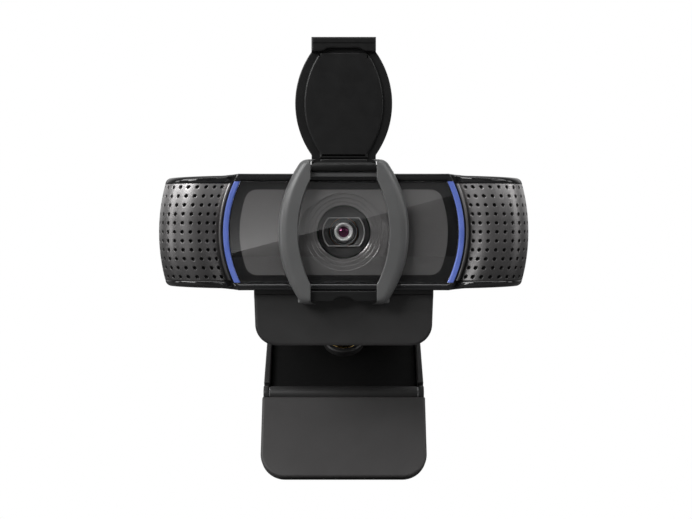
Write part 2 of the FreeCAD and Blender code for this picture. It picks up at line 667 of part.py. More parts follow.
def wave_washers(y, z, bore, outer, x0, x1):
    """Two spring washers, one each side, that give a hinge its friction."""
    washer = rod_x(outer, x0, x1, y, z).cut(rod_x(bore, x0 - 1, x1 + 1, y, z))
    return group(both_sides(washer))


# ---- Leg and foot, drawn folded under the saddle -------------------------------------------------------
def leg_frame():
    """The leg: a shallow tray with side flanges, a barrel at the saddle and a thinner one at the foot."""
    z = LEG_AXIS_Z
    rear, front = LEG_AXIS_Y - 0.5, FOOT_AXIS_Y + 1.0
    floor = polygon([V(-LEG_HALF_REAR, rear, z + LEG_FLOOR_UNDER), V(LEG_HALF_REAR, rear, z + LEG_FLOOR_UNDER),
                     V(LEG_HALF_FRONT, front + 2, z + LEG_FLOOR_UNDER), V(-LEG_HALF_FRONT, front + 2, z + LEG_FLOOR_UNDER)])
    tray = floor.extrude(V(0, 0, LEG_FLANGE_TOP - LEG_FLOOR_UNDER))
    room = box(-LEG_INNER_HALF, LEG_INNER_HALF, 0, 80, z + LEG_FLOOR_TOP, z + 5)
    tray = tray.cut(room)
    # the hinge end is stepped in to pass between the saddle's knuckles
    for side in both_sides(box(LEG_KNUCKLE_HALF, 30, LEG_AXIS_Y - SADDLE_KNUCKLE_R - 0.4, 80, -40, 0)):
        tray = tray.cut(side)
    apron = box(-LEG_INNER_HALF + 0.1, LEG_INNER_HALF - 0.1, front, front + 3, z + LEG_FLOOR_UNDER, z + LEG_FLOOR_TOP)
    barrel = rod_x(LEG_KNUCKLE_R, -LEG_KNUCKLE_HALF, LEG_KNUCKLE_HALF, LEG_AXIS_Y, z)
    tip = rod_x(FOOT_BARREL_R, -LEG_INNER_HALF + 0.1, LEG_INNER_HALF - 0.1, FOOT_AXIS_Y, z)
    boss = rod_z(INSERT_R + 1.4, z + LEG_FLOOR_UNDER, z + LEG_FLANGE_TOP - 0.1, 0, TRIPOD_Y)
    leg = fuse(tray, apron, barrel, tip, boss)
    leg = leg.cut(rod_z(INSERT_R, z - 10, z + 10, 0, TRIPOD_Y))
    leg = leg.cut(rod_x(LEG_PIN_R + RUNNING, -30, 30, LEG_AXIS_Y, z))
    return leg.cut(rod_x(FOOT_PIN_R, -30, 30, FOOT_AXIS_Y, z))


def leg_liner():
    """The rubber sheet in the leg's tray, cut round the tripod boss."""
    z = LEG_AXIS_Z + LEG_FLOOR_TOP
    sheet = box(-LEG_INNER_HALF + 0.2, LEG_INNER_HALF - 0.2, FOOT_AXIS_Y + 2.4, LEG_AXIS_Y - 4.2, z, z + 0.7)
    return sheet.cut(rod_z(INSERT_R + 1.6, z - 1, z + 2, 0, TRIPOD_Y))


def foot_outline(grow, z):
    """The foot's outline: nearly straight sides and round tip corners."""
    top_y = FOOT_AXIS_Y + 2.2
    tip_y, r = FOOT_AXIS_Y - FOOT_LENGTH - grow, FOOT_CORNER
    a, b = FOOT_HALF_TOP + grow, FOOT_HALF_TIP + grow
    s = math.sqrt(0.5)

    def at(x, y):
        return V(x, y, z)

    return face([
        line(at(-a, top_y), at(a, top_y)),
        line(at(a, top_y), at(b, tip_y + r)),
        arc(at(b, tip_y + r), at(b - r * (1 - s), tip_y + r * (1 - s)), at(b - r, tip_y)),
        line(at(b - r, tip_y), at(r - b, tip_y)),
        arc(at(r - b, tip_y), at(r * (1 - s) - b, tip_y + r * (1 - s)), at(-b, tip_y + r)),
        line(at(-b, tip_y + r), at(-a, top_y)),
    ])


def foot_plate():
    """The foot's moulding: a plate with an ear each side on the leg's barrel."""
    z = LEG_AXIS_Z
    plate = foot_outline(0, z + FOOT_UNDER).extrude(V(0, 0, FOOT_TOP - FOOT_UNDER))
    plate = plate.cut(box(-30, 30, FOOT_AXIS_Y - 2.6, 80, z - 5, z + 5))
    ear_in, ear_out = LEG_INNER_HALF + 0.2, FOOT_HALF_TOP - 0.2
    ears = both_sides(fuse(rod_x(EAR_R, ear_in, ear_out, FOOT_AXIS_Y, z),
                           box(ear_in, ear_out, FOOT_AXIS_Y - 3.2, FOOT_AXIS_Y, z - EAR_R, z + FOOT_TOP)))
    foot = fuse(plate, *ears)
    return foot.cut(rod_x(FOOT_PIN_R + RUNNING, -22.0, 22.0, FOOT_AXIS_Y, z))


def foot_pad():
    """The soft pad that covers the foot's face, hollowed along its top edge to clear the leg's barrel."""
    z = LEG_AXIS_Z
    pad = foot_outline(0.1, z + FOOT_TOP).extrude(V(0, 0, FOOT_PAD_TOP - FOOT_TOP))
    pad = pad.cut(box(-30, 30, FOOT_AXIS_Y - 1.35, 80, z - 5, z + 5))
    pad = pad.cut(rod_x(EAR_R + 0.15, -30, 30, FOOT_AXIS_Y, z))
    top = z + FOOT_PAD_TOP
    return rounded(pad, 0.5, lambda e: all(abs(v.Z - top) < 1e-6 for v in e.Vertexes)
                   and min(v.Y for v in e.Vertexes) < FOOT_AXIS_Y - 5)


def swing_leg(shape):
    return turned(shape, LEG_AXIS_Y, LEG_AXIS_Z, LEG_OPEN)


def swing_foot(shape):
    return swing_leg(turned(shape, FOOT_AXIS_Y, LEG_AXIS_Z, FOOT_OPEN))


# ---- Shutter frame and cover --------------------------------------------------------------------------
def arm_face(grow, y):
    """An arm's front view: an inner edge that bows out past the lens and an outer edge that bows further."""
    end = ARM_END_Z
    r = 0.9

    def at(x, z):
        return V(x, y, z)

    out_end, out_mid = ARM_OUT_END + grow, ARM_OUT_MID + grow
    return face([
        line(at(ARM_IN_END, end), at(ARM_IN_END, ARM_STRAIGHT_Z)),
        arc(at(ARM_IN_END, ARM_STRAIGHT_Z), at(ARM_IN_MID, 0), at(ARM_IN_END, -ARM_STRAIGHT_Z)),
        line(at(ARM_IN_END, -ARM_STRAIGHT_Z), at(ARM_IN_END, -end)),
        line(at(ARM_IN_END, -end), at(out_end - r, -end)),
        line(at(out_end - r, -end), at(out_end + 0.35 * r, -end + r)),
        arc(at(out_end + 0.35 * r, -end + r), at(out_mid, 0), at(out_end + 0.35 * r, end - r)),
        line(at(out_end + 0.35 * r, end - r), at(out_end - r, end)),
        line(at(out_end - r, end), at(ARM_IN_END, end)),
    ])


def arm():
    """One arm: a bar across the window with a rounded outer front edge, and a hook at each end."""
    bar = arm_face(0, ARM_FRONT).extrude(V(0, ARM_BACK - ARM_FRONT, 0))
    bar = rounded(bar, ARM_ROUND, lambda e: all(abs(v.Y - ARM_FRONT) < 1e-6 for v in e.Vertexes)
                  and len(e.Vertexes) == 2 and min(v.X for v in e.Vertexes) > ARM_OUT_END
                  and e.Length > 10)
    deep = V(0, HOOK_BACK - ARM_FRONT - 1.6, 0)
    hook = arm_face(HOOK_OUT, ARM_FRONT + 1.6).extrude(deep)
    top_hook = arm_face(TOP_HOOK_OUT, ARM_FRONT + 1.6).extrude(deep)
    lower = hook.common(box(0, 30, -10, 10, -30, -HEAD_TOP - 0.08))
    upper = top_hook.common(box(0, 30, -10, 10, HEAD_TOP + 0.62, ARM_END_Z - 0.6))
    return fuse(bar, lower, upper)


def shutter_frame():
    """The frame that grips the head: two arms, a bar under the hinge, a plate on top and a notched bar below."""
    arms = both_sides(arm())
    brow = box(-ARM_IN_END - 0.5, ARM_IN_END + 0.5, -1.1, ARM_BACK, 13.75, 14.9)
    shelf = box(-SHELF_HALF, SHELF_HALF, 0.6, FRAME_TOP_REAR, HEAD_TOP + 0.62, 16.1)
    shelf = rounded(shelf, 2.5, lambda e: abs(e.Vertexes[0].Z - e.Vertexes[-1].Z) > 0.5 and e.Vertexes[0].Y > 5)
    link = box(-ARM_IN_END - 0.5, ARM_IN_END + 0.5, -0.6, 1.0, HEAD_TOP + 0.1, 14.9)
    riser = box(-ARM_IN_END - 0.5, ARM_IN_END + 0.5, 0.6, 1.6, HEAD_TOP + 0.1, 15.6)
    sill = box(-ARM_IN_END - 0.5, ARM_IN_END + 0.5, -1.2, HOOK_BACK, -17.3, -HEAD_TOP - 0.08)
    notch = rod_y(3.6, -5, 5, 0, -17.3 - 2.4)
    frame = fuse(*arms, brow, shelf, link, riser, sill.cut(notch))
    frame = frame.cut(rod_x(COVER_BARREL_R + 0.15, -ARM_IN_END, ARM_IN_END, COVER_Y, COVER_Z))
    return frame.cut(rod_x(COVER_PIN_R, -10.2, 10.2, COVER_Y, COVER_Z))


def shutter_pad():
    """The rubber strip between the frame's top plate and the head."""
    return box(-12.5, 12.5, 1.8, FRAME_TOP_REAR - 0.6, HEAD_TOP + 0.02, HEAD_TOP + 0.62)


def cover_face(half_end, swell, y):
    """The cover's front view when open: a neck, round flanks and a straight end."""
    mid = COVER_Z + COVER_SWELL_AT
    drop = swell - half_end
    reach = math.sqrt(COVER_SWELL_R ** 2 - (COVER_SWELL_R - drop) ** 2)

    def at(x, z):
        return V(x, y, z)

    low, high, top = mid - reach, mid + reach, COVER_Z + COVER_LENGTH
    return face([
        line(at(-half_end, COVER_Z + 0.4), at(half_end, COVER_Z + 0.4)),
        line(at(half_end, COVER_Z + 0.4), at(half_end, low)),
        arc(at(half_end, low), at(swell, mid), at(half_end, high)),
        line(at(half_end, high), at(half_end, top - 0.9)),
        line(at(half_end, top - 0.9), at(half_end - 0.7, top)),
        line(at(half_end - 0.7, top), at(0.7 - half_end, top)),
        line(at(0.7 - half_end, top), at(-half_end, top - 0.9)),
        line(at(-half_end, top - 0.9), at(-half_end, high)),
        arc(at(-half_end, high), at(-swell, mid), at(-half_end, low)),
        line(at(-half_end, low), at(-half_end, COVER_Z + 0.4)),
    ])


def shutter_cover():
    """The flip cover, drawn open: a thin plate with a hinge barrel at its foot and a thick lip at its end."""
    plate = cover_face(COVER_HALF, COVER_SWELL, COVER_RIM_Y).extrude(V(0, COVER_BACK_Y - COVER_RIM_Y, 0))
    barrel = rod_x(COVER_BARREL_R, -COVER_HALF, COVER_HALF, COVER_Y, COVER_Z)
    neck = box(-COVER_HALF + 2.2, COVER_HALF - 2.2, COVER_Y, COVER_BACK_Y, COVER_Z + 0.3, COVER_Z + 1.9)
    top = COVER_Z + COVER_LENGTH
    lip = box(-COVER_HALF, COVER_HALF, COVER_LIP_Y, COVER_RIM_Y, top - 3.6, top)
    lip = rounded(lip, 0.7, lambda e: abs(e.Vertexes[0].X - e.Vertexes[-1].X) > 1 and e.Vertexes[0].Y < 0)
    cover = fuse(plate, barrel, neck, lip)
    return cover.cut(rod_x(COVER_PIN_R + RUNNING, -30, 30, COVER_Y, COVER_Z))


def cover_liner():
    """The raised panel on the cover's inner face, which fits between the arms when the cover is shut."""
    outline = cover_face(6.0, 9.9, COVER_PANEL_Y)
    panel = outline.extrude(V(0, COVER_RIM_Y - COVER_PANEL_Y, 0))
    top = COVER_Z + COVER_LENGTH
    return panel.common(box(-20, 20, -5, 5, COVER_Z + 2.1, top - 3.7))


# ---- Every node, by the name it is written under --------------------------------------------------------
def head_nodes():
    guides = both_sides(light_guide())
    grilles = both_sides(grille())
    cloths = both_sides(grille_cloth())
    boards = both_sides(lamp_board())
    leads = both_sides(flex_lead())
    return {
        "front_bezel": bezel(),
        "rear_housing": housing(),
        "window": window(),
        "face_plate": face_plate(),
        "light_guide_right": guides[0],
        "light_guide_left": guides[1],
        "mic_grille_right": grilles[0],
        "mic_grille_left": grilles[1],
        "grille_cloth_right": cloths[0],
        "grille_cloth_left": cloths[1],
        "lens_escutcheon": lens_mask(),
        "focus_drive": focus_drive(),
        "focus_magnets": group(both_sides(box(4.32, 4.88, 6.42, 9.38, -2.18, 2.18))),
        "infrared_filter": box(-2.9, 2.9, 10.6, 10.9, -2.5, 2.5),
        "image_sensor": box(-3.4, 3.4, SENSOR_FRONT, BOARD_FRONT, -3.0, 3.0),
        "main_board": main_board(),
        "board_chips": chips(),
        "thermal_pad": box(-8, 8, BOARD_BACK, 15.0, -5, 5),
        "heat_sink": heat_sink(),
        "board_spacers": spacers(),
        "board_screws": board_screws(),
        "housing_screws": housing_screws(),
        "lamp_board_right": boards[0],
        "lamp_board_left": boards[1],
        "status_lamps": group(both_sides(lamp())),
        "microphones": group(both_sides(microphone())),
        "microphone_boots": group(both_sides(microphone_boot())),
        "flex_lead_right": leads[0],
        "flex_lead_left": leads[1],
        "cable_socket": cable_socket(),
        "cable_grommet": cable_grommet(),
        "tilt_bracket": tilt_bracket(),
        "shutter_frame": shutter_frame(),
        "shutter_pad": shutter_pad(),
        "shutter_pin": rod_x(COVER_PIN_R, -10.2, 10.2, COVER_Y, COVER_Z),
    }


def lens_nodes():
    """What moves when the lens focuses."""
    return {
        "lens_barrel": lens_barrel(),
        "front_element": lens_element(BARREL_FRONT + 1.45, BARREL_FRONT + 2.3, 1.33, 0.45),
        "inner_elements": group([lens_element(6.2, 6.8, 1.33, 0.2), lens_element(8.4, 8.9, 1.85, 0.25)]),
        "focus_coil": focus_coil(),
    }


def saddle_nodes():
    leg_side = LEG_KNUCKLE_HALF + 0.02
    return {
        "saddle": saddle(),
        "saddle_pad": saddle_pad(),
        "lip_pad": lip_pad(),
        "tilt_pin": rod_x(TILT_PIN_R, -20.5, 20.5, TILT_Y, TILT_Z),
        "tilt_washers": wave_washers(TILT_Y, TILT_Z, TILT_PIN_R, 1.8, KNUCKLE_HALF + 0.02, KNUCKLE_HALF + 0.2),
        "leg_hinge_pin": rod_x(LEG_PIN_R, -20.0, 20.0, LEG_AXIS_Y, LEG_AXIS_Z),
        "leg_washers": wave_washers(LEG_AXIS_Y, LEG_AXIS_Z, LEG_PIN_R, 2.6, leg_side, LEG_KNUCKLE_HALF + 0.25),
    }


def leg_nodes():
    z = LEG_AXIS_Z
    ear = LEG_INNER_HALF - 0.1
    folded = {
        "leg_frame": leg_frame(),
        "leg_liner": leg_liner(),
        "tripod_insert": tripod_insert(),
        "foot_hinge_pin": rod_x(FOOT_PIN_R, -22.0, 22.0, FOOT_AXIS_Y, z),
        "foot_washers": wave_washers(FOOT_AXIS_Y, z, FOOT_PIN_R, 1.7, ear, ear + 0.28),
    }
    return {name: swing_leg(shape) for name, shape in folded.items()}


def foot_nodes():
    return {"foot_plate": swing_foot(foot_plate()), "foot_pad": swing_foot(foot_pad())}


def cover_nodes():
    return {"shutter_cover": shutter_cover(), "cover_liner": cover_liner()}


def main():
    os.makedirs("parts", exist_ok=True)
    for made in (head_nodes, lens_nodes, saddle_nodes, leg_nodes, foot_nodes, cover_nodes):
        for name, shape in made().items():
            placed = shape.copy()
            placed.translate(V(0, FACE_Y, LENS_Z))
            placed.exportStep("parts/" + name + ".step")
            good = placed.isValid() and placed.Volume > 0
            print(f"{name:20s} solids {len(placed.Solids)} volume {placed.Volume:9.2f} {'ok' if good else 'BAD'}")


main()
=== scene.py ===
"""Looks of a clip-on webcam with a flip-up privacy cover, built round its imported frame.

Every shape is worked out in millimetres from the lens datum (x and z from the lens axis, y from the window's
front, +y into the head) and is placed in the frame's metres by at_datum. A shape is a grid of points from a
formula, a closed outline carried inward and back along an edge profile, or a section turned about an axis.
"""

import json
import math
from functools import cached_property

import bmesh
import bpy
import numpy as np
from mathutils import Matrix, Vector


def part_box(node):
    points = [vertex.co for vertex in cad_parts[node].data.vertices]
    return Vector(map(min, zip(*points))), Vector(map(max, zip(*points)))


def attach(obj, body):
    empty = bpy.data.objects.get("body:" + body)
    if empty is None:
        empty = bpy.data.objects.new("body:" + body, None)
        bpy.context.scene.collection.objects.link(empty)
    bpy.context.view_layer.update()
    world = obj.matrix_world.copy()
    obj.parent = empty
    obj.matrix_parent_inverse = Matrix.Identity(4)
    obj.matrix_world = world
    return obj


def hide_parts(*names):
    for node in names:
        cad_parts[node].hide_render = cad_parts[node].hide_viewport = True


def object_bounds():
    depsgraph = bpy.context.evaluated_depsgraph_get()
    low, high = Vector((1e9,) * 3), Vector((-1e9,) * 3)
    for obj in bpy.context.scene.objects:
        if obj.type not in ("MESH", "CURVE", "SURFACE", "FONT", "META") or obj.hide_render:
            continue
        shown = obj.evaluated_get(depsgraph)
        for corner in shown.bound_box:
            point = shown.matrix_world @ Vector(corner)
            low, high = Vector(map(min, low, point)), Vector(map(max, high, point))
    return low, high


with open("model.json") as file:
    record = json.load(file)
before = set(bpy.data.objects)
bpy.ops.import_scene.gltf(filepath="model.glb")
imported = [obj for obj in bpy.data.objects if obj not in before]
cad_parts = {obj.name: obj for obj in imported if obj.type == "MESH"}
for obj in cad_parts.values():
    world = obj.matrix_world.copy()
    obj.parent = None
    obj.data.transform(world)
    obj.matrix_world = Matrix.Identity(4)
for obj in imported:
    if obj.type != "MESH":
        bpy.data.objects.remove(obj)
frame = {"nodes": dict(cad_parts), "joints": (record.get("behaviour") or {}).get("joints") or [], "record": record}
CAD_LOW, CAD_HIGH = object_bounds()
JOINTS = {joint["name"]: joint for joint in frame["joints"]}
MOUNTS = {mount["name"]: mount for mount in frame["record"]["mounts"]}

# ---- Datum and sizes, in millimetres ------------------------------------------------------------------
WINDOW_LOW, WINDOW_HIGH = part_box("window")
DATUM = np.array([0.0, WINDOW_LOW.y, (WINDOW_LOW.z + WINDOW_HIGH.z) / 2])
RIGHT, BACK, UP = np.eye(3)


def from_datum(point):
    """A point of the frame, in metres, as millimetres from the datum."""
    return (np.array(point, float) - DATUM) * 1000


def limits(node):
    """A CAD node's lowest and highest corners in millimetres from the datum."""
    low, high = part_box(node)
    return from_datum(low), from_datum(high)


COVER_AXIS, TILT_AXIS, LEG_AXIS, FOOT_AXIS = (
    from_datum(JOINTS[name]["pos_m"]) for name in ("cover_flip", "head_tilt", "leg_swing", "foot_swing"))
LEG_LENGTH = float(np.linalg.norm(FOOT_AXIS - LEG_AXIS))
ALONG_LEG = (FOOT_AXIS - LEG_AXIS) / LEG_LENGTH
OUT_OF_LEG = np.cross(ALONG_LEG, RIGHT)
OUT_OF_FOOT = np.array(MOUNTS["screen_back_rest"]["axis"], float)
ALONG_FOOT = np.cross(RIGHT, OUT_OF_FOOT)

HEAD_TOP = 14.6             # half height of the head's middle block
BLOCK_R = 30.3              # the block's sides, from the lens axis
WINDOW_HALF, WINDOW_R, WINDOW_T = 12.65, 28.8, 1.0
PLATE_FRONT, PLATE_BACK = 1.05, 2.85
WELL_R = 6.6
TERRACES, TERRACE_DROP = (9.65, 8.55, 7.55), 0.25
PRINT_R, PRINT_TOP, PRINT_BOTTOM, PRINT_CORNER = 26.05, 10.6, 10.75, 1.8
GUIDE_IN, GUIDE_OUT, GUIDE_FRONT, GUIDE_ROUND = 28.9, 30.2, 0.15, 0.35

WING_R, WING_MID, WING_Y = 9.6, 37.6, 9.4
GRILLE_INNER, GRILLE_HALF, GRILLE_T = 31.2, 12.1, 0.7
GRILLE_START, GRILLE_END = math.asin((GRILLE_INNER - WING_MID) / WING_R), math.radians(97.0)
HOLE_R, HOLE_PITCH, HOLE_ROWS = 0.47, 2.25, 11
HOLE_COLUMNS = (32.55, 34.2, 36.15, 38.3, 40.45, 42.45, 44.25, 45.75, 46.75)   # distances from the lens axis

WELD = 2e-7                 # metres
EDGE_MARGIN = 0.15          # flat border inside a plate's rounded edge


# ---- Meshes -------------------------------------------------------------------------------------------
def at_datum(points):
    """Millimetres from the datum to metres in the frame."""
    return np.asarray(points, float) / 1000 + DATUM


def put_in_scene(name, data):
    """An object of some data, linked into the scene."""
    made = bpy.data.objects.new(name, data)
    bpy.context.scene.collection.objects.link(made)
    return made


def quads(rows, columns, round_rows=False, round_columns=False):
    """Corner numbers of the quads over a grid; round_rows joins the last row to the first, and so on."""
    index = np.arange(rows * columns).reshape(rows, columns)
    if round_rows:
        index = np.vstack([index, index[:1]])
    if round_columns:
        index = np.hstack([index, index[:, :1]])
    corners = [index[:-1, :-1], index[1:, :-1], index[1:, 1:], index[:-1, 1:]]
    return np.stack(corners, -1).reshape(-1, 4).tolist()


def sheet_of(points, round_rows=False, round_columns=False):
    """A shell over a grid of points, rows by columns by 3."""
    rows, columns = points.shape[:2]
    return points.reshape(-1, 3), quads(rows, columns, round_rows, round_columns)


def capped(rings):
    """A closed shell through rings of points, rows by columns by 3, with one flat face over each end."""
    points, faces = sheet_of(rings, round_columns=True)
    count = rings.shape[1]
    first = list(range(count))
    last = list(range(len(points) - count, len(points)))
    return points, faces + [first, last[::-1]]


def mirror_shell(shell):
    """The same shell on the other side of the middle plane."""
    points, faces = shell
    return points * np.array([-1.0, 1.0, 1.0]), [face[::-1] for face in faces]


def both_sides(*shells):
    """Shells of the right side, and the same on the left."""
    return [*shells, *map(mirror_shell, shells)]


def make(name, shells, body, slot, *stands_for, finish=None, sharp=32.0):
    """One object from shells of (points, faces): welded, faced outwards, smooth below the sharp angle, and with the
    finish of its slot unless another is given."""
    points, faces, count = [], [], 0
    for shell_points, shell_faces in shells:
        points.append(shell_points)
        faces += [[corner + count for corner in face] for face in shell_faces]
        count += len(shell_points)
    mesh = bpy.data.meshes.new(name)
    mesh.from_pydata(at_datum(np.vstack(points)).tolist(), [], faces)
    work = bmesh.new()
    work.from_mesh(mesh)
    bmesh.ops.remove_doubles(work, verts=work.verts, dist=WELD)
    bmesh.ops.dissolve_degenerate(work, edges=work.edges, dist=WELD)
    bmesh.ops.recalc_face_normals(work, faces=work.faces)
    work.to_mesh(mesh)
    work.free()
    mesh.polygons.foreach_set("use_smooth", [True] * len(mesh.polygons))
    mesh.set_sharp_from_angle(angle=math.radians(sharp))
    mesh.materials.append(finish or FINISHES[slot])
    made = put_in_scene(name, mesh)
    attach(made, body)
    if stands_for:
        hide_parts(*stands_for)
    return made


# ---- Outlines and profiles ----------------------------------------------------------------------------
def arc(a, b, c, steps):
    """Points along the circle arc from a through b to c, worked out from the circle's centre."""
    (ax, ay), (bx, by), (cx, cy) = a, b, c
    d = 2 * (ax * (by - cy) + bx * (cy - ay) + cx * (ay - by))
    a2, b2, c2 = ax * ax + ay * ay, bx * bx + by * by, cx * cx + cy * cy
    ux = (a2 * (by - cy) + b2 * (cy - ay) + c2 * (ay - by)) / d
    uy = (a2 * (cx - bx) + b2 * (ax - cx) + c2 * (bx - ax)) / d
    start = math.atan2(ay - uy, ax - ux)
    middle = (math.atan2(by - uy, bx - ux) - start) % (2 * math.pi)
    end = (math.atan2(cy - uy, cx - ux) - start) % (2 * math.pi)
    if middle > end:
        end -= 2 * math.pi
    angles = start + np.linspace(0, end, steps)
    radius = math.hypot(ax - ux, ay - uy)
    return np.stack([ux + radius * np.cos(angles), uy + radius * np.sin(angles)], -1)


def rounded_outline(corners, radii, step=0.8, turns=9):
    """A closed outline through corners, each rounded by an arc of its radius, with straight runs cut into steps."""
    corners = np.array(corners, float)
    count = len(corners)
    runs = []
    for i in range(count):
        here, before, after = corners[i], corners[i - 1], corners[(i + 1) % count]
        back, ahead = before - here, after - here
        back, ahead = back / np.linalg.norm(back), ahead / np.linalg.norm(ahead)
        half = math.acos(np.clip(back @ ahead, -1, 1)) / 2
        reach = radii[i] / math.tan(half)
        middle = (back + ahead) / np.linalg.norm(back + ahead)
        mid = here + middle * (radii[i] / math.sin(half) - radii[i])
        runs.append(arc(here + back * reach, mid, here + ahead * reach, turns))
    whole = []
    for i, run in enumerate(runs):
        following = runs[(i + 1) % count][0]
        parts = max(1, int(np.linalg.norm(following - run[-1]) / step))
        share = np.linspace(0, 1, parts + 1)[1:-1, None]
        whole += [run, run[-1] * (1 - share) + following * share]
    return np.vstack(whole)


def trapezium(low_half, low, high_half, high):
    """Four corners even about the middle plane: low_half each way at low, and high_half at high."""
    return [(-low_half, low), (low_half, low), (high_half, high), (-high_half, high)]


def inward(outline):
    """The unit direction into a closed outline at each of its points, square to the chord of its neighbours."""
    chord = np.roll(outline, -1, 0) - np.roll(outline, 1, 0)
    chord /= np.linalg.norm(chord, axis=1)[:, None]
    x, y = outline[:, 0], outline[:, 1]
    area = np.sum(x * np.roll(y, -1) - np.roll(x, -1) * y)
    turn = np.stack([-chord[:, 1], chord[:, 0]], -1)
    return turn if area > 0 else -turn


def quarter(steps):
    """Pairs (1 - sin, 1 - cos) over a quarter turn: what a unit round has left to go, and what it has gone."""
    return [(1 - math.sin(t), 1 - math.cos(t)) for t in np.linspace(0, math.pi / 2, steps)]


def edge_profile(front, back, front_r, back_r, steps=6):
    """Pairs of (inset, depth) from a plate's back to its front, with a quarter-round edge at each."""
    sign = 1.0 if back > front else -1.0
    behind = [(back_r * left, back - sign * back_r * gone) for left, gone in quarter(steps)]
    before = [(front_r * gone, front + sign * front_r * left) for left, gone in quarter(steps)]
    return [(back_r + EDGE_MARGIN, back)] + behind + before + [(front_r + EDGE_MARGIN, front)]


def unfolded(ring, outline):
    """A ring moved inward from an outline, with each run of points whose order the move reversed drawn together."""
    kept = np.sum((np.roll(outline, -1, 0) - outline) * (np.roll(ring, -1, 0) - ring), axis=1) > 0
    if kept.all() or not kept.any():
        return ring
    order = (np.arange(len(ring)) + np.flatnonzero(kept)[0] + 1) % len(ring)
    runs = np.cumsum(kept[order - 1]) - 1
    count = np.bincount(runs)
    middles = np.stack([np.bincount(runs, ring[order, k]) / count for k in (0, 1)], -1)
    drawn = ring.copy()
    drawn[order] = middles[runs]
    return drawn


def pillow(outline, profile, place):
    """A closed plate: for each (inset, depth) the outline is moved inward by inset and placed at that depth."""
    direction = inward(outline)
    return capped(np.array([place(unfolded(outline + direction * inset, outline), depth)
                            for inset, depth in profile]))


def laid_on(start, across, along, out):
    """A function that places an outline's pairs across and along a plane through start, at a height out of it."""
    def place(points, height):
        return start + points[:, :1] * across + points[:, 1:] * along + height * out
    return place


facing = laid_on(np.zeros(3), RIGHT, UP, BACK)
lying = laid_on(np.zeros(3), RIGHT, BACK, UP)
on_leg = laid_on(LEG_AXIS, RIGHT, ALONG_LEG, OUT_OF_LEG)
on_foot = laid_on(FOOT_AXIS, RIGHT, ALONG_FOOT, OUT_OF_FOOT)
across_foot = laid_on(FOOT_AXIS, ALONG_FOOT, OUT_OF_FOOT, RIGHT)


def block(x0, x1, y0, y1, z0, z1, radius, place=lying):
    """A box with all its edges rounded, as a round-cornered outline carried from z0 to z1."""
    outline = rounded_outline([(x0, y0), (x1, y0), (x1, y1), (x0, y1)], [radius] * 4, step=1.2, turns=6)
    return pillow(outline, edge_profile(z1, z0, radius, radius, 5), place)


def turned_about(axis_point, axis, start, profile, steps):
    """A shell of profile pairs (radius, distance along axis) turned about an axis; radius 0 closes a pole."""
    side = np.cross(axis, start)
    angles = np.linspace(0, 2 * math.pi, steps, endpoint=False)[:, None]
    round_it = np.cos(angles) * start + np.sin(angles) * side
    profile = np.array(profile, float)[:, :, None, None]
    return sheet_of(axis_point + profile[:, 0] * round_it + profile[:, 1] * axis, round_columns=True)


def rod(y, z, radius, x0, x1, edge=0.25, steps=56):
    """A cylinder along X with rounded rims and closed ends."""
    low = [(radius - edge * left, x0 + edge * gone) for left, gone in quarter(5)]
    high = [(radius - edge * gone, x1 - edge * left) for left, gone in quarter(5)]
    rim = radius - edge - 0.05
    profile = [(0, x0), (rim, x0)] + low + high + [(rim, x1), (0, x1)]
    return turned_about(np.array([0.0, y, z]), RIGHT, BACK, profile, steps)


def facing_ring(profile, steps=128):
    """A shell of (radius, depth) pairs turned about the lens axis."""
    return turned_about(np.zeros(3), BACK, RIGHT, profile, steps)


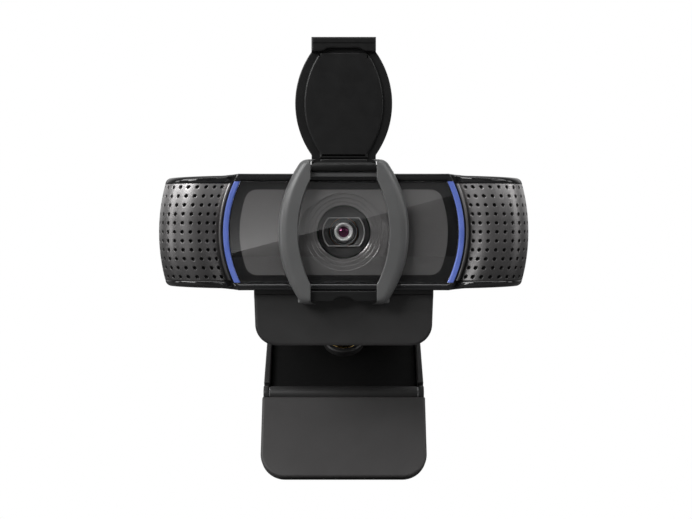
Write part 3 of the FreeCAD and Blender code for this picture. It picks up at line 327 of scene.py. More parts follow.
# ---- Materials ----------------------------------------------------------------------------------------
class Recipe:
    """The node tree of a material or world, with a method for each kind of node that the finishes are made of. A
    node's input takes a socket, which is linked, or a constant."""

    def __init__(self, owner):
        owner.use_nodes = True
        self.owner, self.tree = owner, owner.node_tree
        self.shader = self.tree.nodes.get("Principled BSDF")

    def put(self, socket, value):
        if isinstance(value, bpy.types.NodeSocket):
            self.tree.links.new(value, socket)
        else:
            socket.default_value = (*value, 1.0) if socket.type == "RGBA" else value

    def fill(self, node, inputs):
        for name, value in inputs.items():
            self.put(node.inputs[name.replace("_", " ")], value)
        return node

    def node(self, kind, **inputs):
        return self.fill(self.tree.nodes.new("ShaderNode" + kind), inputs)

    def shade(self, **inputs):
        """Fills the Principled shader's inputs and gives the finished material."""
        self.fill(self.shader, inputs)
        return self.owner

    def surface(self, shader):
        kind = "World Output" if isinstance(self.owner, bpy.types.World) else "Material Output"
        self.put(self.tree.nodes[kind].inputs["Surface"], shader.outputs[0])

    def instead(self, ray, usual, other):
        """Shows one kind of ray another shader than the usual one."""
        mix = self.node("MixShader", Fac=self.node("LightPath").outputs[ray])
        self.put(mix.inputs[1], usual.outputs[0])
        self.put(mix.inputs[2], other.outputs[0])
        self.surface(mix)

    @cached_property
    def where(self):
        """Object coordinates in millimetres."""
        coordinates = self.node("TexCoord").outputs["Object"]
        return self.node("Mapping", Vector=coordinates, Scale=(1000, 1000, 1000)).outputs["Vector"]

    @cached_property
    def axes(self):
        """Sockets X, Y and Z of the place in millimetres from the datum."""
        centred = self.node("Mapping", Vector=self.where, Location=tuple(-1000 * DATUM))
        return self.node("SeparateXYZ", Vector=centred.outputs["Vector"]).outputs

    def noise(self, per_mm, detail=3.0, rough=0.55, stretch=None):
        """Noise with its features 1 / per_mm millimetres across, drawn out along an axis by stretch."""
        vector = self.where
        if stretch:
            vector = self.node("Mapping", Vector=vector, Scale=stretch).outputs["Vector"]
        return self.node("TexNoise", Vector=vector, Scale=per_mm, Detail=detail, Roughness=rough).outputs["Fac"]

    def spread(self, value, low, high, start=0.3, stop=0.7):
        """Value from start to stop carried to low to high."""
        return self.node("MapRange", Value=value, From_Min=start, From_Max=stop, To_Min=low, To_Max=high).outputs[0]

    def blend(self, factor, first, second):
        """A colour between two."""
        node = self.tree.nodes.new("ShaderNodeMix")
        node.data_type = "RGBA"
        return self.fill(node, {"Factor": factor, "A": first, "B": second}).outputs["Result"]

    def tint(self, value, dark, light):
        """A noise's middle range carried from a dark colour to a light one."""
        return self.blend(self.spread(value, 0.0, 1.0), dark, light)

    def math(self, operation, *values):
        node = self.tree.nodes.new("ShaderNodeMath")
        node.operation = operation
        for socket, value in zip(node.inputs, values):
            self.put(socket, value)
        return node.outputs["Value"]

    def weigh(self, first, share, second):
        """Share of the first value and the rest of the second."""
        rest = self.math("MULTIPLY", second, 1.0 - share)
        return self.math("ADD", self.math("MULTIPLY", first, share), rest)

    def length(self, first, second):
        """The hypotenuse of two sides."""
        squares = [self.math("MULTIPLY", side, side) for side in (first, second)]
        return self.math("SQRT", self.math("ADD", *squares))

    def bump(self, height, depth_mm, under=None):
        """A bump of a height socket, over another bump's normal if there is one."""
        node = self.node("Bump", Height=height, Distance=depth_mm / 1000, Strength=1.0)
        if under:
            self.put(node.inputs["Normal"], under)
        return node.outputs["Normal"]


def recipe_for(name):
    return Recipe(bpy.data.materials.new(name))


def moulded(name, dark, light, roughness, grain=7.0, depth=0.006, waves=0.0, specular=0.5, metallic=0.0, wear=0.0,
            painted_light_fades=()):
    """Moulded plastic or rubber: a cloudy tint, a fine grain in gloss and height, slow waves of the mould, and edges
    worn light. Each fade is painted light or shade by height: a tint, the height where it begins and the height where
    it is full."""
    recipe = recipe_for(name)
    fine, smear = recipe.noise(grain, 2.0, 0.6), recipe.noise(0.35, 5.0, 0.65)
    colour = recipe.tint(recipe.noise(0.09, 4.0), dark, light)
    # Painted light and shade: the colour is lightened or darkened by height, not by any lamp.
    for tint, begin, full in painted_light_fades:
        colour = recipe.blend(recipe.spread(recipe.axes["Z"], 0.0, 1.0, begin, full), colour, tint)
    speck = tuple(1.6 * c for c in light)
    colour = recipe.blend(recipe.spread(fine, 0.0, 0.22, 0.45, 0.75), colour, speck)
    if wear:
        rim = recipe.spread(recipe.node("NewGeometry").outputs["Pointiness"], 0.0, wear, 0.53, 0.62)
        pale = tuple(min(1.0, 4 * c + 0.05) for c in light)
        colour = recipe.blend(recipe.math("MULTIPLY", rim, smear), colour, pale)
    gloss = recipe.spread(recipe.weigh(smear, 0.6, fine), *roughness)
    normal = recipe.bump(fine, depth)
    if waves:
        normal = recipe.bump(recipe.noise(0.16, 1.0), waves, normal)
    return recipe.shade(Base_Color=colour, Roughness=gloss, Normal=normal, Specular_IOR_Level=specular,
                        Metallic=metallic)


def metal(name, dark, light, roughness, lines=(1.0, 12.0, 12.0), depth=0.002):
    """Turned or brushed metal: fine lines drawn out along one axis, in tint, gloss and height."""
    recipe = recipe_for(name)
    brushed, cloud = recipe.noise(1.6, 4.0, 0.6, lines), recipe.noise(0.4, 3.0)
    gloss = recipe.spread(recipe.weigh(brushed, 0.7, cloud), *roughness)
    return recipe.shade(Base_Color=recipe.tint(brushed, dark, light), Roughness=gloss,
                        Normal=recipe.bump(brushed, depth), Metallic=1.0)


def cloth(name, dark, light, threads=5.0):
    """A fine plain weave: two sine waves at right angles, multiplied, in height and tint."""
    recipe = recipe_for(name)
    parts = recipe.node("SeparateXYZ", Vector=recipe.where).outputs
    waves = [recipe.math("SINE", recipe.math("MULTIPLY", parts[axis], threads * 2 * math.pi)) for axis in "XZ"]
    fuzz = recipe.noise(9.0, 3.0)
    height = recipe.math("ADD", recipe.math("MULTIPLY", recipe.math("MULTIPLY", *waves), 0.5), fuzz)
    colour = recipe.blend(recipe.spread(height, 0.0, 1.0, -0.2, 1.2), dark, light)
    return recipe.shade(Base_Color=colour, Roughness=recipe.spread(fuzz, 0.8, 0.98),
                        Normal=recipe.bump(height, 0.03), Sheen_Weight=0.3)


def pane(name, tint, ior):
    """Clear glass or acrylic that lets lamps' light through, with the faintest smears in its gloss."""
    recipe = recipe_for(name)
    smear = recipe.spread(recipe.noise(0.12, 5.0, 0.7, (1.0, 1.0, 2.0)), 0.0, 0.02, 0.55, 0.8)
    recipe.instead("Is Shadow Ray", recipe.shader, recipe.node("BsdfTransparent", Color=tint))
    return recipe.shade(Base_Color=tint, Transmission_Weight=1.0, IOR=ior, Roughness=smear)


def printed_plate(name):
    """The plate behind the window: grey print inside a round-cornered outline, deep black outside and in the well."""
    recipe = recipe_for(name)
    x, z = recipe.axes["X"], recipe.axes["Z"]
    out = recipe.length(x, z)
    middle, half = (PRINT_TOP - PRINT_BOTTOM) / 2, (PRINT_TOP + PRINT_BOTTOM) / 2
    above = recipe.math("ABSOLUTE", recipe.math("SUBTRACT", z, middle))
    past_side = recipe.math("MAXIMUM", recipe.math("SUBTRACT", out, PRINT_R - PRINT_CORNER), 0.0)
    past_edge = recipe.math("MAXIMUM", recipe.math("SUBTRACT", above, half - PRINT_CORNER), 0.0)
    corner = recipe.length(past_side, past_edge)
    inside = recipe.spread(corner, 1.0, 0.0, PRINT_CORNER - 0.06, PRINT_CORNER + 0.06)
    shown = recipe.math("MULTIPLY", inside, recipe.spread(out, 0.0, 1.0, WELL_R + 0.12, WELL_R + 0.2))
    fine, cloud = recipe.noise(11.0, 2.0, 0.6), recipe.noise(0.07, 3.0)
    grey = recipe.tint(fine, (0.142, 0.139, 0.138), (0.165, 0.161, 0.16))
    grey = recipe.blend(recipe.spread(cloud, 0.0, 0.3), grey, (0.13, 0.127, 0.127))
    black = recipe.tint(fine, (0.006, 0.006, 0.0062), (0.009, 0.009, 0.0093))
    return recipe.shade(Base_Color=recipe.blend(shown, black, grey), Metallic=recipe.math("MULTIPLY", shown, 0.62),
                        Roughness=recipe.spread(fine, 0.02, 0.05), Specular_IOR_Level=0.1)


def glowing_guide(name):
    """A frosted light guide, lit blue from behind a little unevenly."""
    recipe = recipe_for(name)
    frost, cloud = recipe.noise(6.0, 3.0), recipe.noise(0.25, 2.0)
    return recipe.shade(
        Base_Color=recipe.tint(cloud, (0.07, 0.11, 0.34), (0.095, 0.135, 0.39)),
        Emission_Color=recipe.tint(cloud, (0.045, 0.075, 0.26), (0.06, 0.09, 0.3)), Emission_Strength=0.5,
        Roughness=recipe.spread(frost, 0.22, 0.4), Normal=recipe.bump(frost, 0.004),
        Subsurface_Weight=0.2, Subsurface_Radius=(0.0004, 0.0004, 0.001))


def coated_lens(name):
    """A lens element's outside: deep black glass with a magenta coating that shows in its reflections."""
    recipe = recipe_for(name)
    cloud = recipe.noise(0.8, 2.0)
    return recipe.shade(
        Base_Color=recipe.tint(cloud, (0.012, 0.003, 0.008), (0.02, 0.004, 0.014)),
        Roughness=recipe.spread(cloud, 0.02, 0.05), Specular_IOR_Level=1.0, Specular_Tint=(1.0, 0.32, 0.62),
        Coat_Weight=0.35, Coat_Roughness=0.02, Coat_Tint=(1.0, 0.6, 0.85))


def circuit(name):
    """Solder mask over copper: blocky darker and lighter green cells, with fine flecks."""
    recipe = recipe_for(name)
    cells = recipe.node("TexVoronoi", Vector=recipe.where, Scale=0.45)
    cells.distance = "CHEBYCHEV"
    cell, fine = cells.outputs["Distance"], recipe.noise(4.0, 2.0)
    colour = recipe.blend(recipe.spread(cell, 0.0, 1.0, 0.2, 0.8), (0.006, 0.045, 0.018), (0.012, 0.085, 0.032))
    colour = recipe.blend(recipe.spread(fine, 0.0, 0.3), colour, (0.05, 0.12, 0.05))
    return recipe.shade(Base_Color=colour, Roughness=recipe.spread(fine, 0.25, 0.4),
                        Normal=recipe.bump(cell, 0.03))


# Painted light on the grille: a painted highlight lightens it towards the top and painted shade darkens it towards the
# bottom.
GRILLE_PAINTED_LIGHT = (((0.42, 0.41, 0.41), 3.0, 12.0), ((0.075, 0.073, 0.073), -1.0, -12.0))
FINISHES = {
    "gloss_black": moulded("Gloss_black", (0.011, 0.011, 0.0115), (0.0145, 0.0145, 0.015), (0.05, 0.13), 2.5,
                           0.0006, waves=0.01),
    "satin_black": moulded("Satin_black", (0.017, 0.0166, 0.0166), (0.0225, 0.022, 0.022), (0.40, 0.54), 8.0,
                           0.008, waves=0.01, wear=0.3),
    "clear_pane": pane("Clear_pane", (0.985, 0.985, 0.985), 1.49),
    "printed_plate": printed_plate("Printed_plate"),
    "light_guide": glowing_guide("Light_guide"),
    # The grille's finish carries painted light and shade by height.
    "grille_grey": moulded("Grille_grey_painted_light", (0.15, 0.145, 0.145), (0.185, 0.18, 0.18), (0.3, 0.4), 9.0, 0.003,
                           metallic=0.8, painted_light_fades=GRILLE_PAINTED_LIGHT),
    "acoustic_cloth": cloth("Acoustic_cloth", (0.002, 0.002, 0.002), (0.006, 0.006, 0.006)),
    "lens_trim": moulded("Lens_trim", (0.004, 0.004, 0.004), (0.006, 0.006, 0.006), (0.4, 0.52), 9.0, 0.003),
    "drive_plastic": moulded("Drive_plastic", (0.004, 0.004, 0.004), (0.007, 0.007, 0.007), (0.5, 0.65), 6.0),
    "steel": metal("Plated_steel", (0.42, 0.42, 0.43), (0.6, 0.6, 0.61), (0.22, 0.36)),
    "filter_glass": pane("Filter_glass", (0.62, 0.85, 0.95), 1.5),
    "sensor_glass": moulded("Sensor_glass", (0.01, 0.012, 0.02), (0.02, 0.026, 0.045), (0.08, 0.16), 3.0, 0.001),
    "circuit_board": circuit("Circuit_board"),
    "chip_black": moulded("Chip_black", (0.009, 0.009, 0.009), (0.014, 0.014, 0.014), (0.5, 0.66), 6.0, 0.01),
    "soft_grey": moulded("Soft_grey", (0.2, 0.2, 0.215), (0.27, 0.27, 0.285), (0.6, 0.75), 4.0, 0.012),
    "aluminium": metal("Plain_aluminium", (0.62, 0.62, 0.63), (0.76, 0.76, 0.77), (0.3, 0.45)),
    "lamp_white": moulded("Lamp_white", (0.6, 0.6, 0.55), (0.75, 0.75, 0.7), (0.15, 0.25), 3.0, 0.002),
    "flex_amber": moulded("Flex_amber", (0.3, 0.13, 0.02), (0.4, 0.19, 0.035), (0.3, 0.42), 4.0, 0.003),
    "socket_white": moulded("Socket_white", (0.55, 0.53, 0.47), (0.68, 0.66, 0.6), (0.4, 0.5), 5.0),
    "black_rubber": moulded("Black_rubber", (0.003, 0.003, 0.003), (0.0045, 0.0045, 0.0045), (0.62, 0.78), 5.0,
                            0.014, waves=0.012, specular=0.2),
    "frame_grey": moulded("Frame_grey", (0.086, 0.087, 0.087), (0.104, 0.105, 0.105), (0.3, 0.4), 8.0, 0.005,
                          waves=0.006, wear=0.25),
    "barrel_black": moulded("Barrel_black", (0.005, 0.005, 0.005), (0.009, 0.009, 0.009), (0.4, 0.55), 9.0, 0.004),
    "lens_glass": coated_lens("Lens_glass"),
    "copper": metal("Copper_wire", (0.5, 0.2, 0.09), (0.72, 0.32, 0.16), (0.25, 0.38), (1.0, 14.0, 1.0), 0.02),
    "cover_black": moulded("Cover_black", (0.0055, 0.0055, 0.0056), (0.007, 0.007, 0.0071), (0.32, 0.44), 8.0,
                           waves=0.008, specular=0.35, wear=0.2),
    "brass": metal("Turned_brass", (0.55, 0.36, 0.12), (0.75, 0.52, 0.2), (0.2, 0.34)),
    "soft_touch": moulded("Soft_touch", (0.041, 0.0392, 0.0392), (0.05, 0.048, 0.048), (0.5, 0.62), 9.0, 0.012,
                          waves=0.012, specular=0.45),
}
LENS_SILVER = moulded("Lens_silver", (0.3, 0.3, 0.3), (0.38, 0.38, 0.38), (0.38, 0.5), 6.0, 0.001, metallic=0.35)
RIM_GREY = moulded("Rim_grey", (0.17, 0.165, 0.165), (0.21, 0.205, 0.205), (0.34, 0.46), 9.0, 0.002, metallic=0.3)

for entry in frame["record"]["subparts"]:
    node = frame["nodes"][entry["node"]]
    node.data.materials.clear()
    node.data.materials.append(FINISHES[entry["material_slot"]])


# ---- Window, face plate and light guides --------------------------------------------------------------
def window_outline(radius, half, step=0.8):
    """A circle about the lens axis cut flat at +half and -half: two straight runs joined by side arcs."""
    reach = math.sqrt(radius ** 2 - half ** 2)
    run = np.linspace(-reach, reach, int(2 * reach / step))[1:-1]
    right = arc((reach, -half), (radius, 0), (reach, half), 33)
    top = np.stack([run[::-1], np.full(len(run), half)], -1)
    bottom = np.stack([run, np.full(len(run), -half)], -1)
    return np.vstack([right, top, -right, bottom])


def flat_sided(radius, half, angles):
    """How far a circle about the lens axis, cut flat at +half and -half, reaches at each angle."""
    return np.minimum(radius, half / np.maximum(np.abs(np.sin(angles)), 1e-9))


def around(radius, depth, angles):
    """A ring of points about the lens axis, with one radius or one for each angle."""
    return np.stack([radius * np.cos(angles), np.full(len(angles), depth), radius * np.sin(angles)], -1)


def face_plate():
    """A polar grid: at each angle the radius runs from the well's wall over three terraces to the plate's outline,
    and each terrace drops a step with softened edges."""
    corner = math.asin(WINDOW_HALF / WINDOW_R)
    first = np.concatenate([np.linspace(0, corner, 14)[:-1], np.linspace(corner, math.pi / 2, 40)])
    half_turn = np.concatenate([first, (math.pi - first[::-1])[1:]])
    angles = np.concatenate([half_turn[:-1], (half_turn + math.pi)[:-1]])
    reach = flat_sided(WINDOW_R, WINDOW_HALF, angles)
    low = PLATE_FRONT + TERRACE_DROP * len(TERRACES)
    steps = [(WELL_R, PLATE_BACK), (WELL_R, low + 0.1), (WELL_R + 0.1, low)]
    for radius in reversed(TERRACES):
        high = low - TERRACE_DROP
        steps += [(radius - 0.12, low), (radius - 0.02, low - 0.03), (radius, low - 0.08)]
        steps += [(radius, high + 0.08), (radius + 0.02, high + 0.03), (radius + 0.1, high)]
        low = high
    start = TERRACES[0] + 0.1
    steps += [(start + (reach - start) * share, PLATE_FRONT) for share in np.linspace(0, 1, 14)[1:]]
    steps.append((reach, PLATE_BACK))
    rows = np.array([around(radius, depth, angles) for radius, depth in steps])
    return sheet_of(rows, round_rows=True, round_columns=True)


def band(heights, inner, outer, section, ends=None):
    """A closed bar between two edges x = inner(z) and x = outer(z). Its section is a loop of (side, inset, depth):
    side 0 is measured out from the inner edge, side 1 in from the outer edge. At each height, ends gives how far
    the outer and inner sides draw in and by what share the bar's depth behind its back face shrinks."""
    side, inset, depth = np.array(section, float).T
    back = depth.max()
    if ends is None:
        ends = np.zeros((len(heights), 3))
    from_inner = inner[:, None] + inset + ends[:, 1:2]
    from_outer = outer[:, None] - inset - ends[:, 0:1]
    x = np.where(side > 0.5, from_outer, from_inner)
    y = back - (back - depth) * (1 - ends[:, 2:3])
    z = np.broadcast_to(heights[:, None], x.shape)
    return capped(np.stack([x, y, z], -1))


def ring_band(inner, outer, half, count, section):
    """A band between two circles about the lens axis, from -half to half in height."""
    z = np.linspace(-half, half, count)
    return band(z, np.sqrt(inner ** 2 - z ** 2), np.sqrt(outer ** 2 - z ** 2), section)


def guide_strip():
    """A strip of a ring about the lens axis with a crowned front."""
    rounds = [(GUIDE_ROUND * gone, GUIDE_FRONT + GUIDE_ROUND * left) for left, gone in quarter(7)]
    section = [(0, 0.0, PLATE_BACK)] + [(0, *pair) for pair in rounds]
    section += [(1, *pair) for pair in rounds[::-1]] + [(1, 0.0, PLATE_BACK)]
    return ring_band(GUIDE_IN, GUIDE_OUT, WINDOW_HALF, 60, section)


window = pillow(window_outline(WINDOW_R, WINDOW_HALF), edge_profile(0.0, WINDOW_T, 0.2, 0.05), facing)
make("Window_pane", [window], "head_body", "clear_pane", "window")
make("Face_plate_printed", [face_plate()], "head_body", "printed_plate", "face_plate", sharp=50)
guide = guide_strip()
make("Light_guide_strip_right", [guide], "head_body", "light_guide", "light_guide_right")
make("Light_guide_strip_left", [mirror_shell(guide)], "head_body", "light_guide", "light_guide_left")


# ---- Microphone grilles -------------------------------------------------------------------------------
def wing_surface(angle, z, depth):
    """The wing's skin: a circle of radius WING_R in plan about (WING_MID, WING_Y), turned about the lens axis.
    angle goes round that circle from straight ahead, z is the height, and depth is how far below the skin."""
    out = WING_MID + (WING_R - depth) * np.sin(angle)
    spin = np.arcsin(np.clip(z / (WING_MID + WING_R * np.sin(angle)), -1, 1))
    y = WING_Y - (WING_R - depth) * np.cos(angle)
    return np.stack([out * np.cos(spin), y, out * np.sin(spin)], -1)


def unit_square():
    """Points round a square from -1 to 1, and the same points drawn in to the circle inside it."""
    side, one = np.linspace(-1, 1, 7)[:-1], np.ones(6)
    sides = ((side, -one), (one, side), (-side, one), (-one, -side))
    square = np.vstack([np.stack(pair, -1) for pair in sides])
    return square, square / np.linalg.norm(square, axis=1)[:, None]


def subdivided(lines):
    """Every line of a grid and five between each pair of neighbours, as the holes' cells have them."""
    fractions = np.linspace(0, 1, 7)
    parts = [low + (high - low) * fractions for low, high in zip(lines[:-1], lines[1:])]
    return np.unique(np.concatenate(parts).round(9))


def hole_cells():
    """One patch per hole. Its rows run from the border of the hole's cell in to the rim, down the bore and out
    again along the sheet's back, so that the patches together are a closed sheet with real holes."""
    columns = np.arcsin((np.array(HOLE_COLUMNS) - WING_MID) / WING_R)
    middles = (columns[1:] + columns[:-1]) / 2
    borders = np.concatenate([[GRILLE_START], middles, [columns[-1] + (columns[-1] - middles[-1]) * 1.2]])
    heights = HOLE_PITCH * (np.arange(HOLE_ROWS) - (HOLE_ROWS - 1) / 2)
    lines = np.concatenate([[-GRILLE_HALF], (heights[1:] + heights[:-1]) / 2, [GRILLE_HALF]])
    square, circle = unit_square()
    low_a, high_a = borders[:-1, None, None], borders[1:, None, None]
    low_z, high_z = lines[None, :-1, None], lines[None, 1:, None]
    edge_a = low_a + (high_a - low_a) * (square[:, 0] + 1) / 2 + 0 * low_z
    edge_z = low_z + (high_z - low_z) * (square[:, 1] + 1) / 2 + 0 * low_a
    lead = HOLE_R + 0.07
    rows = []
    for share, radius, depth in ((0, 0, 0), (0.45, lead, 0), (0.8, lead, 0), (1, lead, 0),
                                 (1, HOLE_R + 0.025, 0.018), (1, HOLE_R, 0.07), (1, HOLE_R, GRILLE_T),
                                 (0.6, HOLE_R, GRILLE_T), (0, 0, GRILLE_T)):
        rim_a = columns[:, None, None] + radius * circle[:, 0] / WING_R
        rim_z = heights[None, :, None] + radius * circle[:, 1]
        rows.append(wing_surface(edge_a + (rim_a - edge_a) * share, edge_z + (rim_z - edge_z) * share, depth))
    patches = np.array(rows).reshape(len(rows), -1, len(square), 3)
    shells = [sheet_of(patches[:, i], round_columns=True) for i in range(patches.shape[1])]
    return shells, subdivided(borders), subdivided(lines)


def grille_sheet():
    """The perforated sheet: hole patches, a plain stretch round the wing's end, and the four edges."""
    shells, a_line, z_line = hole_cells()
    rest = np.linspace(a_line[-1], GRILLE_END, 9)
    whole = np.concatenate([a_line, rest[1:]])
    a, z = np.meshgrid(rest, z_line, indexing="ij")
    grids = [wing_surface(a, z, depth) for depth in (0.0, GRILLE_T)]
    edges = [(whole, np.full(len(whole), height)) for height in (-GRILLE_HALF, GRILLE_HALF)]
    edges += [(np.full(len(z_line), end), z_line) for end in (whole[0], whole[-1])]
    grids += [np.array([wing_surface(*edge, depth) for depth in (0.0, GRILLE_T)]) for edge in edges]
    return shells + [sheet_of(grid) for grid in grids]


def grille_rib():
    """The rolled edge along the sheet's inner end: a round-topped rib between two circles about the lens axis."""
    front, back = 0.55, 3.2
    rise = [(0, 0.42 * gone, front + 0.6 * left) for left, gone in quarter(7)]
    fall = [(1, 0.5 * gone, front + 1.2 * left) for left, gone in quarter(7)[::-1]]
    return ring_band(30.5, 31.5, GRILLE_HALF, 56, [(0, 0.0, back)] + rise + fall + [(1, 0.0, back)])


grille = grille_sheet() + [grille_rib()]
make("Grille_sheet_right", grille, "head_body", "grille_grey", "mic_grille_right", sharp=45)
make("Grille_sheet_left", [mirror_shell(shell) for shell in grille], "head_body", "grille_grey",
     "mic_grille_left", sharp=45)


# ---- Lens ---------------------------------------------------------------------------------------------
BARREL_FRONT, GLASS_R = 3.2, 1.34


def barrel_body():
    """The barrel's section turned about the lens axis: a stepped black front and a straight tail."""
    front = [(1.36, 1.1), (GLASS_R, 0.95), (1.62, 0.72), (2.5, 0.42), (2.62, 0.36), (2.74, 0.4), (2.82, 0.85),
             (3.0, 0.85), (3.06, 0.5), (3.12, 0.45), (3.42, 0.45), (3.5, 0.53), (3.5, 1.6), (3.2, 2.0)]
    tail = [(3.2, 9.2), (1.9, 9.2), (1.9, 8.2), (1.36, 7.6)]
    return facing_ring([(radius, BARREL_FRONT + depth) for radius, depth in front] + tail)


def lens_ring():
    """The bright ring round the glass: a rounded bead with an inner slope."""
    f = BARREL_FRONT + 0.42
    crown = [(2.02 + 0.36 * math.cos(t), f - 0.3 * math.sin(t)) for t in np.linspace(0, math.pi, 12)]
    slope = [(1.36, f + 0.45), (1.36, f + 0.62), (2.38, f + 0.3), (2.38, f + 0.1)]
    return facing_ring([(2.38, f + 0.1)] + crown + slope)


def glass_dome(radius, edge_y, bulge, back_y):
    """A dome of a sphere's cap over a flat back."""
    ball = (radius ** 2 + bulge ** 2) / (2 * bulge)
    lean = np.linspace(0, math.asin(radius / ball), 14)
    cap = [(ball * math.sin(t), edge_y - bulge + ball * (1 - math.cos(t))) for t in lean]
    return facing_ring(cap + [(radius, back_y), (0, back_y)], steps=96)


def resample(loop, count):
    """A closed outline again with evenly spaced points, starting at the same place."""
    closed = np.vstack([loop, loop[:1]])
    run = np.concatenate([[0], np.cumsum(np.linalg.norm(np.diff(closed, axis=0), axis=1))])
    even = np.linspace(0, run[-1], count, endpoint=False)
    return np.stack([np.interp(even, run, closed[:, k]) for k in (0, 1)], -1)


def escutcheon_rim():
    """The raised rim of the trim in the well, round at the sides and flat above and below."""
    outer, inner = window_outline(5.4, 3.7, 0.5), window_outline(5.08, 3.42, 0.5)
    levels = [(outer, 4.3), (outer, 3.6), ((outer + inner) / 2, 3.5), (inner, 3.6), (inner, 4.3)]
    rings = [facing(resample(loop, 160), y) for loop, y in levels]
    return sheet_of(np.array(rings), round_rows=True, round_columns=True)


dome = glass_dome(GLASS_R, BARREL_FRONT + 1.05, 0.38, BARREL_FRONT + 2.3)
trim = facing_ring([(3.75, 4.35), (3.85, 4.3), (6.45, 4.3), (6.5, 4.35), (6.5, 5.0), (3.75, 5.0), (3.75, 4.35)])
make("Lens_barrel_turned", [barrel_body()], "lens_body", "barrel_black", "lens_barrel", sharp=40)
make("Lens_ring", [lens_ring()], "lens_body", "barrel_black", finish=LENS_SILVER)
make("Front_element_dome", [dome], "lens_body", "lens_glass", "front_element")
make("Lens_escutcheon_trim", [trim], "head_body", "lens_trim", "lens_escutcheon", sharp=40)
make("Lens_escutcheon_rim", [escutcheon_rim()], "head_body", "lens_trim", finish=RIM_GREY, sharp=40)


# ---- Shutter frame ------------------------------------------------------------------------------------
ARM_FRONT, ARM_BACK, ARM_END = -3.0, -0.1, 18.1
ARM_IN_END, ARM_IN_MID, ARM_STRAIGHT = 8.25, 11.45, 13.2
ARM_OUT_END, ARM_OUT_MID, ARM_OUT_Z = 11.0, 16.3, 17.2
SHELF_HALF, SHELF_Y0, SHELF_Y1 = 11.2, 0.6, 9.0
FRAME_GAP = 0.08            # between the head and the frame's lower hooks and sill


def circle_edge(at_end, end_z, at_mid, z):
    """x on the circle through (at_end, end_z), (at_mid, 0) and (at_end, -end_z), at heights z."""
    drop = at_mid - at_end
    radius = (end_z ** 2 + drop ** 2) / (2 * drop)
    return at_mid - radius + np.sqrt(radius ** 2 - np.minimum(z ** 2, radius ** 2))


def drawn_in(reach, past):
    """The share by which a quarter circle of radius reach has drawn in, a distance past its start."""
    return 1 - np.sqrt(1 - np.clip(past / reach, 0, 1) ** 2)


def shutter_arm():
    """One arm between an inner edge, straight at its ends and bowed out between, and an outer arc. Its section is
    flat in front beside the inner edge and rolls back in a wide quarter-round to the outer side. Both ends draw in
    along quarter circles."""
    low, high, side_r, low_r, high_r = -ARM_END + 0.1, ARM_END, 1.1, 1.9, 1.3
    close = side_r * np.array([left for left, gone in quarter(9)])
    z = np.concatenate([low + close, np.linspace(low + side_r, high - side_r, 90)[1:-1], high - close])
    z = np.unique(z.round(6))
    sides = np.maximum(drawn_in(side_r, low + side_r - z), drawn_in(side_r, z - high + side_r))
    face = np.maximum(0.6 * drawn_in(low_r, low + low_r - z), 0.4 * drawn_in(high_r, z - high + high_r))
    bowed = circle_edge(ARM_IN_END, ARM_STRAIGHT, ARM_IN_MID, z)
    inner = np.where(np.abs(z) < ARM_STRAIGHT, bowed, ARM_IN_END)
    outer = circle_edge(ARM_OUT_END, ARM_OUT_Z, ARM_OUT_MID, z)
    lip = [(0, 0.16 * gone, ARM_FRONT + 0.16 * left) for left, gone in quarter(5)]
    roll = [(1, 2.35 * left, ARM_FRONT + 2.1 * gone) for left, gone in quarter(14)]
    section = [(0, 0.0, ARM_BACK)] + lip + [(0, 0.35, ARM_FRONT), (1, 2.55, ARM_FRONT)] + roll + [(1, 0.0, ARM_BACK)]
    return band(z, inner, outer, section, np.stack([side_r * sides, 0.2 * sides, face], -1))


def frame_parts():
    """The arms with their hooks over the head, the brow and ledge under the hinge, and the shelf on the head."""
    hooks = []
    for grow, z0, z1 in ((0.4, -ARM_END + 0.35, -HEAD_TOP - FRAME_GAP), (-0.1, HEAD_TOP + 0.62, ARM_END - 0.6)):
        hooks.append(block(ARM_IN_END + 0.15, ARM_OUT_END + grow, ARM_FRONT + 1.5, 2.4, z0, z1, 0.45))
    half = ARM_IN_END + 0.5
    bars = [block(-half, half, *sizes) for sizes in ((-1.1, ARM_BACK, 13.75, 14.9, 0.3),
                                                     (-0.6, 1.0, HEAD_TOP + 0.1, 14.95, 0.1),
                                                     (0.6, 1.7, HEAD_TOP + 0.12, 15.9, 0.3))]
    shelf = rounded_outline(trapezium(SHELF_HALF, SHELF_Y0, SHELF_HALF, SHELF_Y1), [0.8, 0.8, 2.5, 2.5])
    shelf = pillow(shelf, edge_profile(16.1, HEAD_TOP + 0.62, 0.45, 0.15), lying)
    return both_sides(shutter_arm(), *hooks) + bars + [shelf]


def sill():
    """The lower bar between the arms, with an arched notch in the middle of its lower edge."""
    half, low, high, rise, notch = ARM_IN_END + 0.5, -17.3, -HEAD_TOP - FRAME_GAP, 1.15, 2.75
    arch = arc((-notch, low), (0, low + rise), (notch, low), 17)
    left = np.stack([np.linspace(-half, -notch, 9)[:-1], np.full(8, low)], -1)
    right = left[::-1] * np.array([-1, 1])
    top = np.stack([np.linspace(half, -half, 24), np.full(24, high)], -1)
    return pillow(np.vstack([left, arch, right, top]), edge_profile(-1.2, 2.4, 0.3, 0.2), facing)


make("Shutter_frame_moulding", frame_parts(), "head_body", "frame_grey", "shutter_frame")
make("Shutter_frame_sill", [sill()], "head_body", "frame_grey", finish=FINISHES["cover_black"])


# ---- Cover --------------------------------------------------------------------------------------------
COVER_HALF, COVER_LENGTH, HINGE_R = 8.05, 32.4, 1.3
SWELL, SWELL_R, SWELL_AT = 12.15, 22.4, 15.9
COVER_RIM, COVER_BACK, COVER_PANEL, COVER_LIP = 0.5, 1.4, -0.3, -1.2


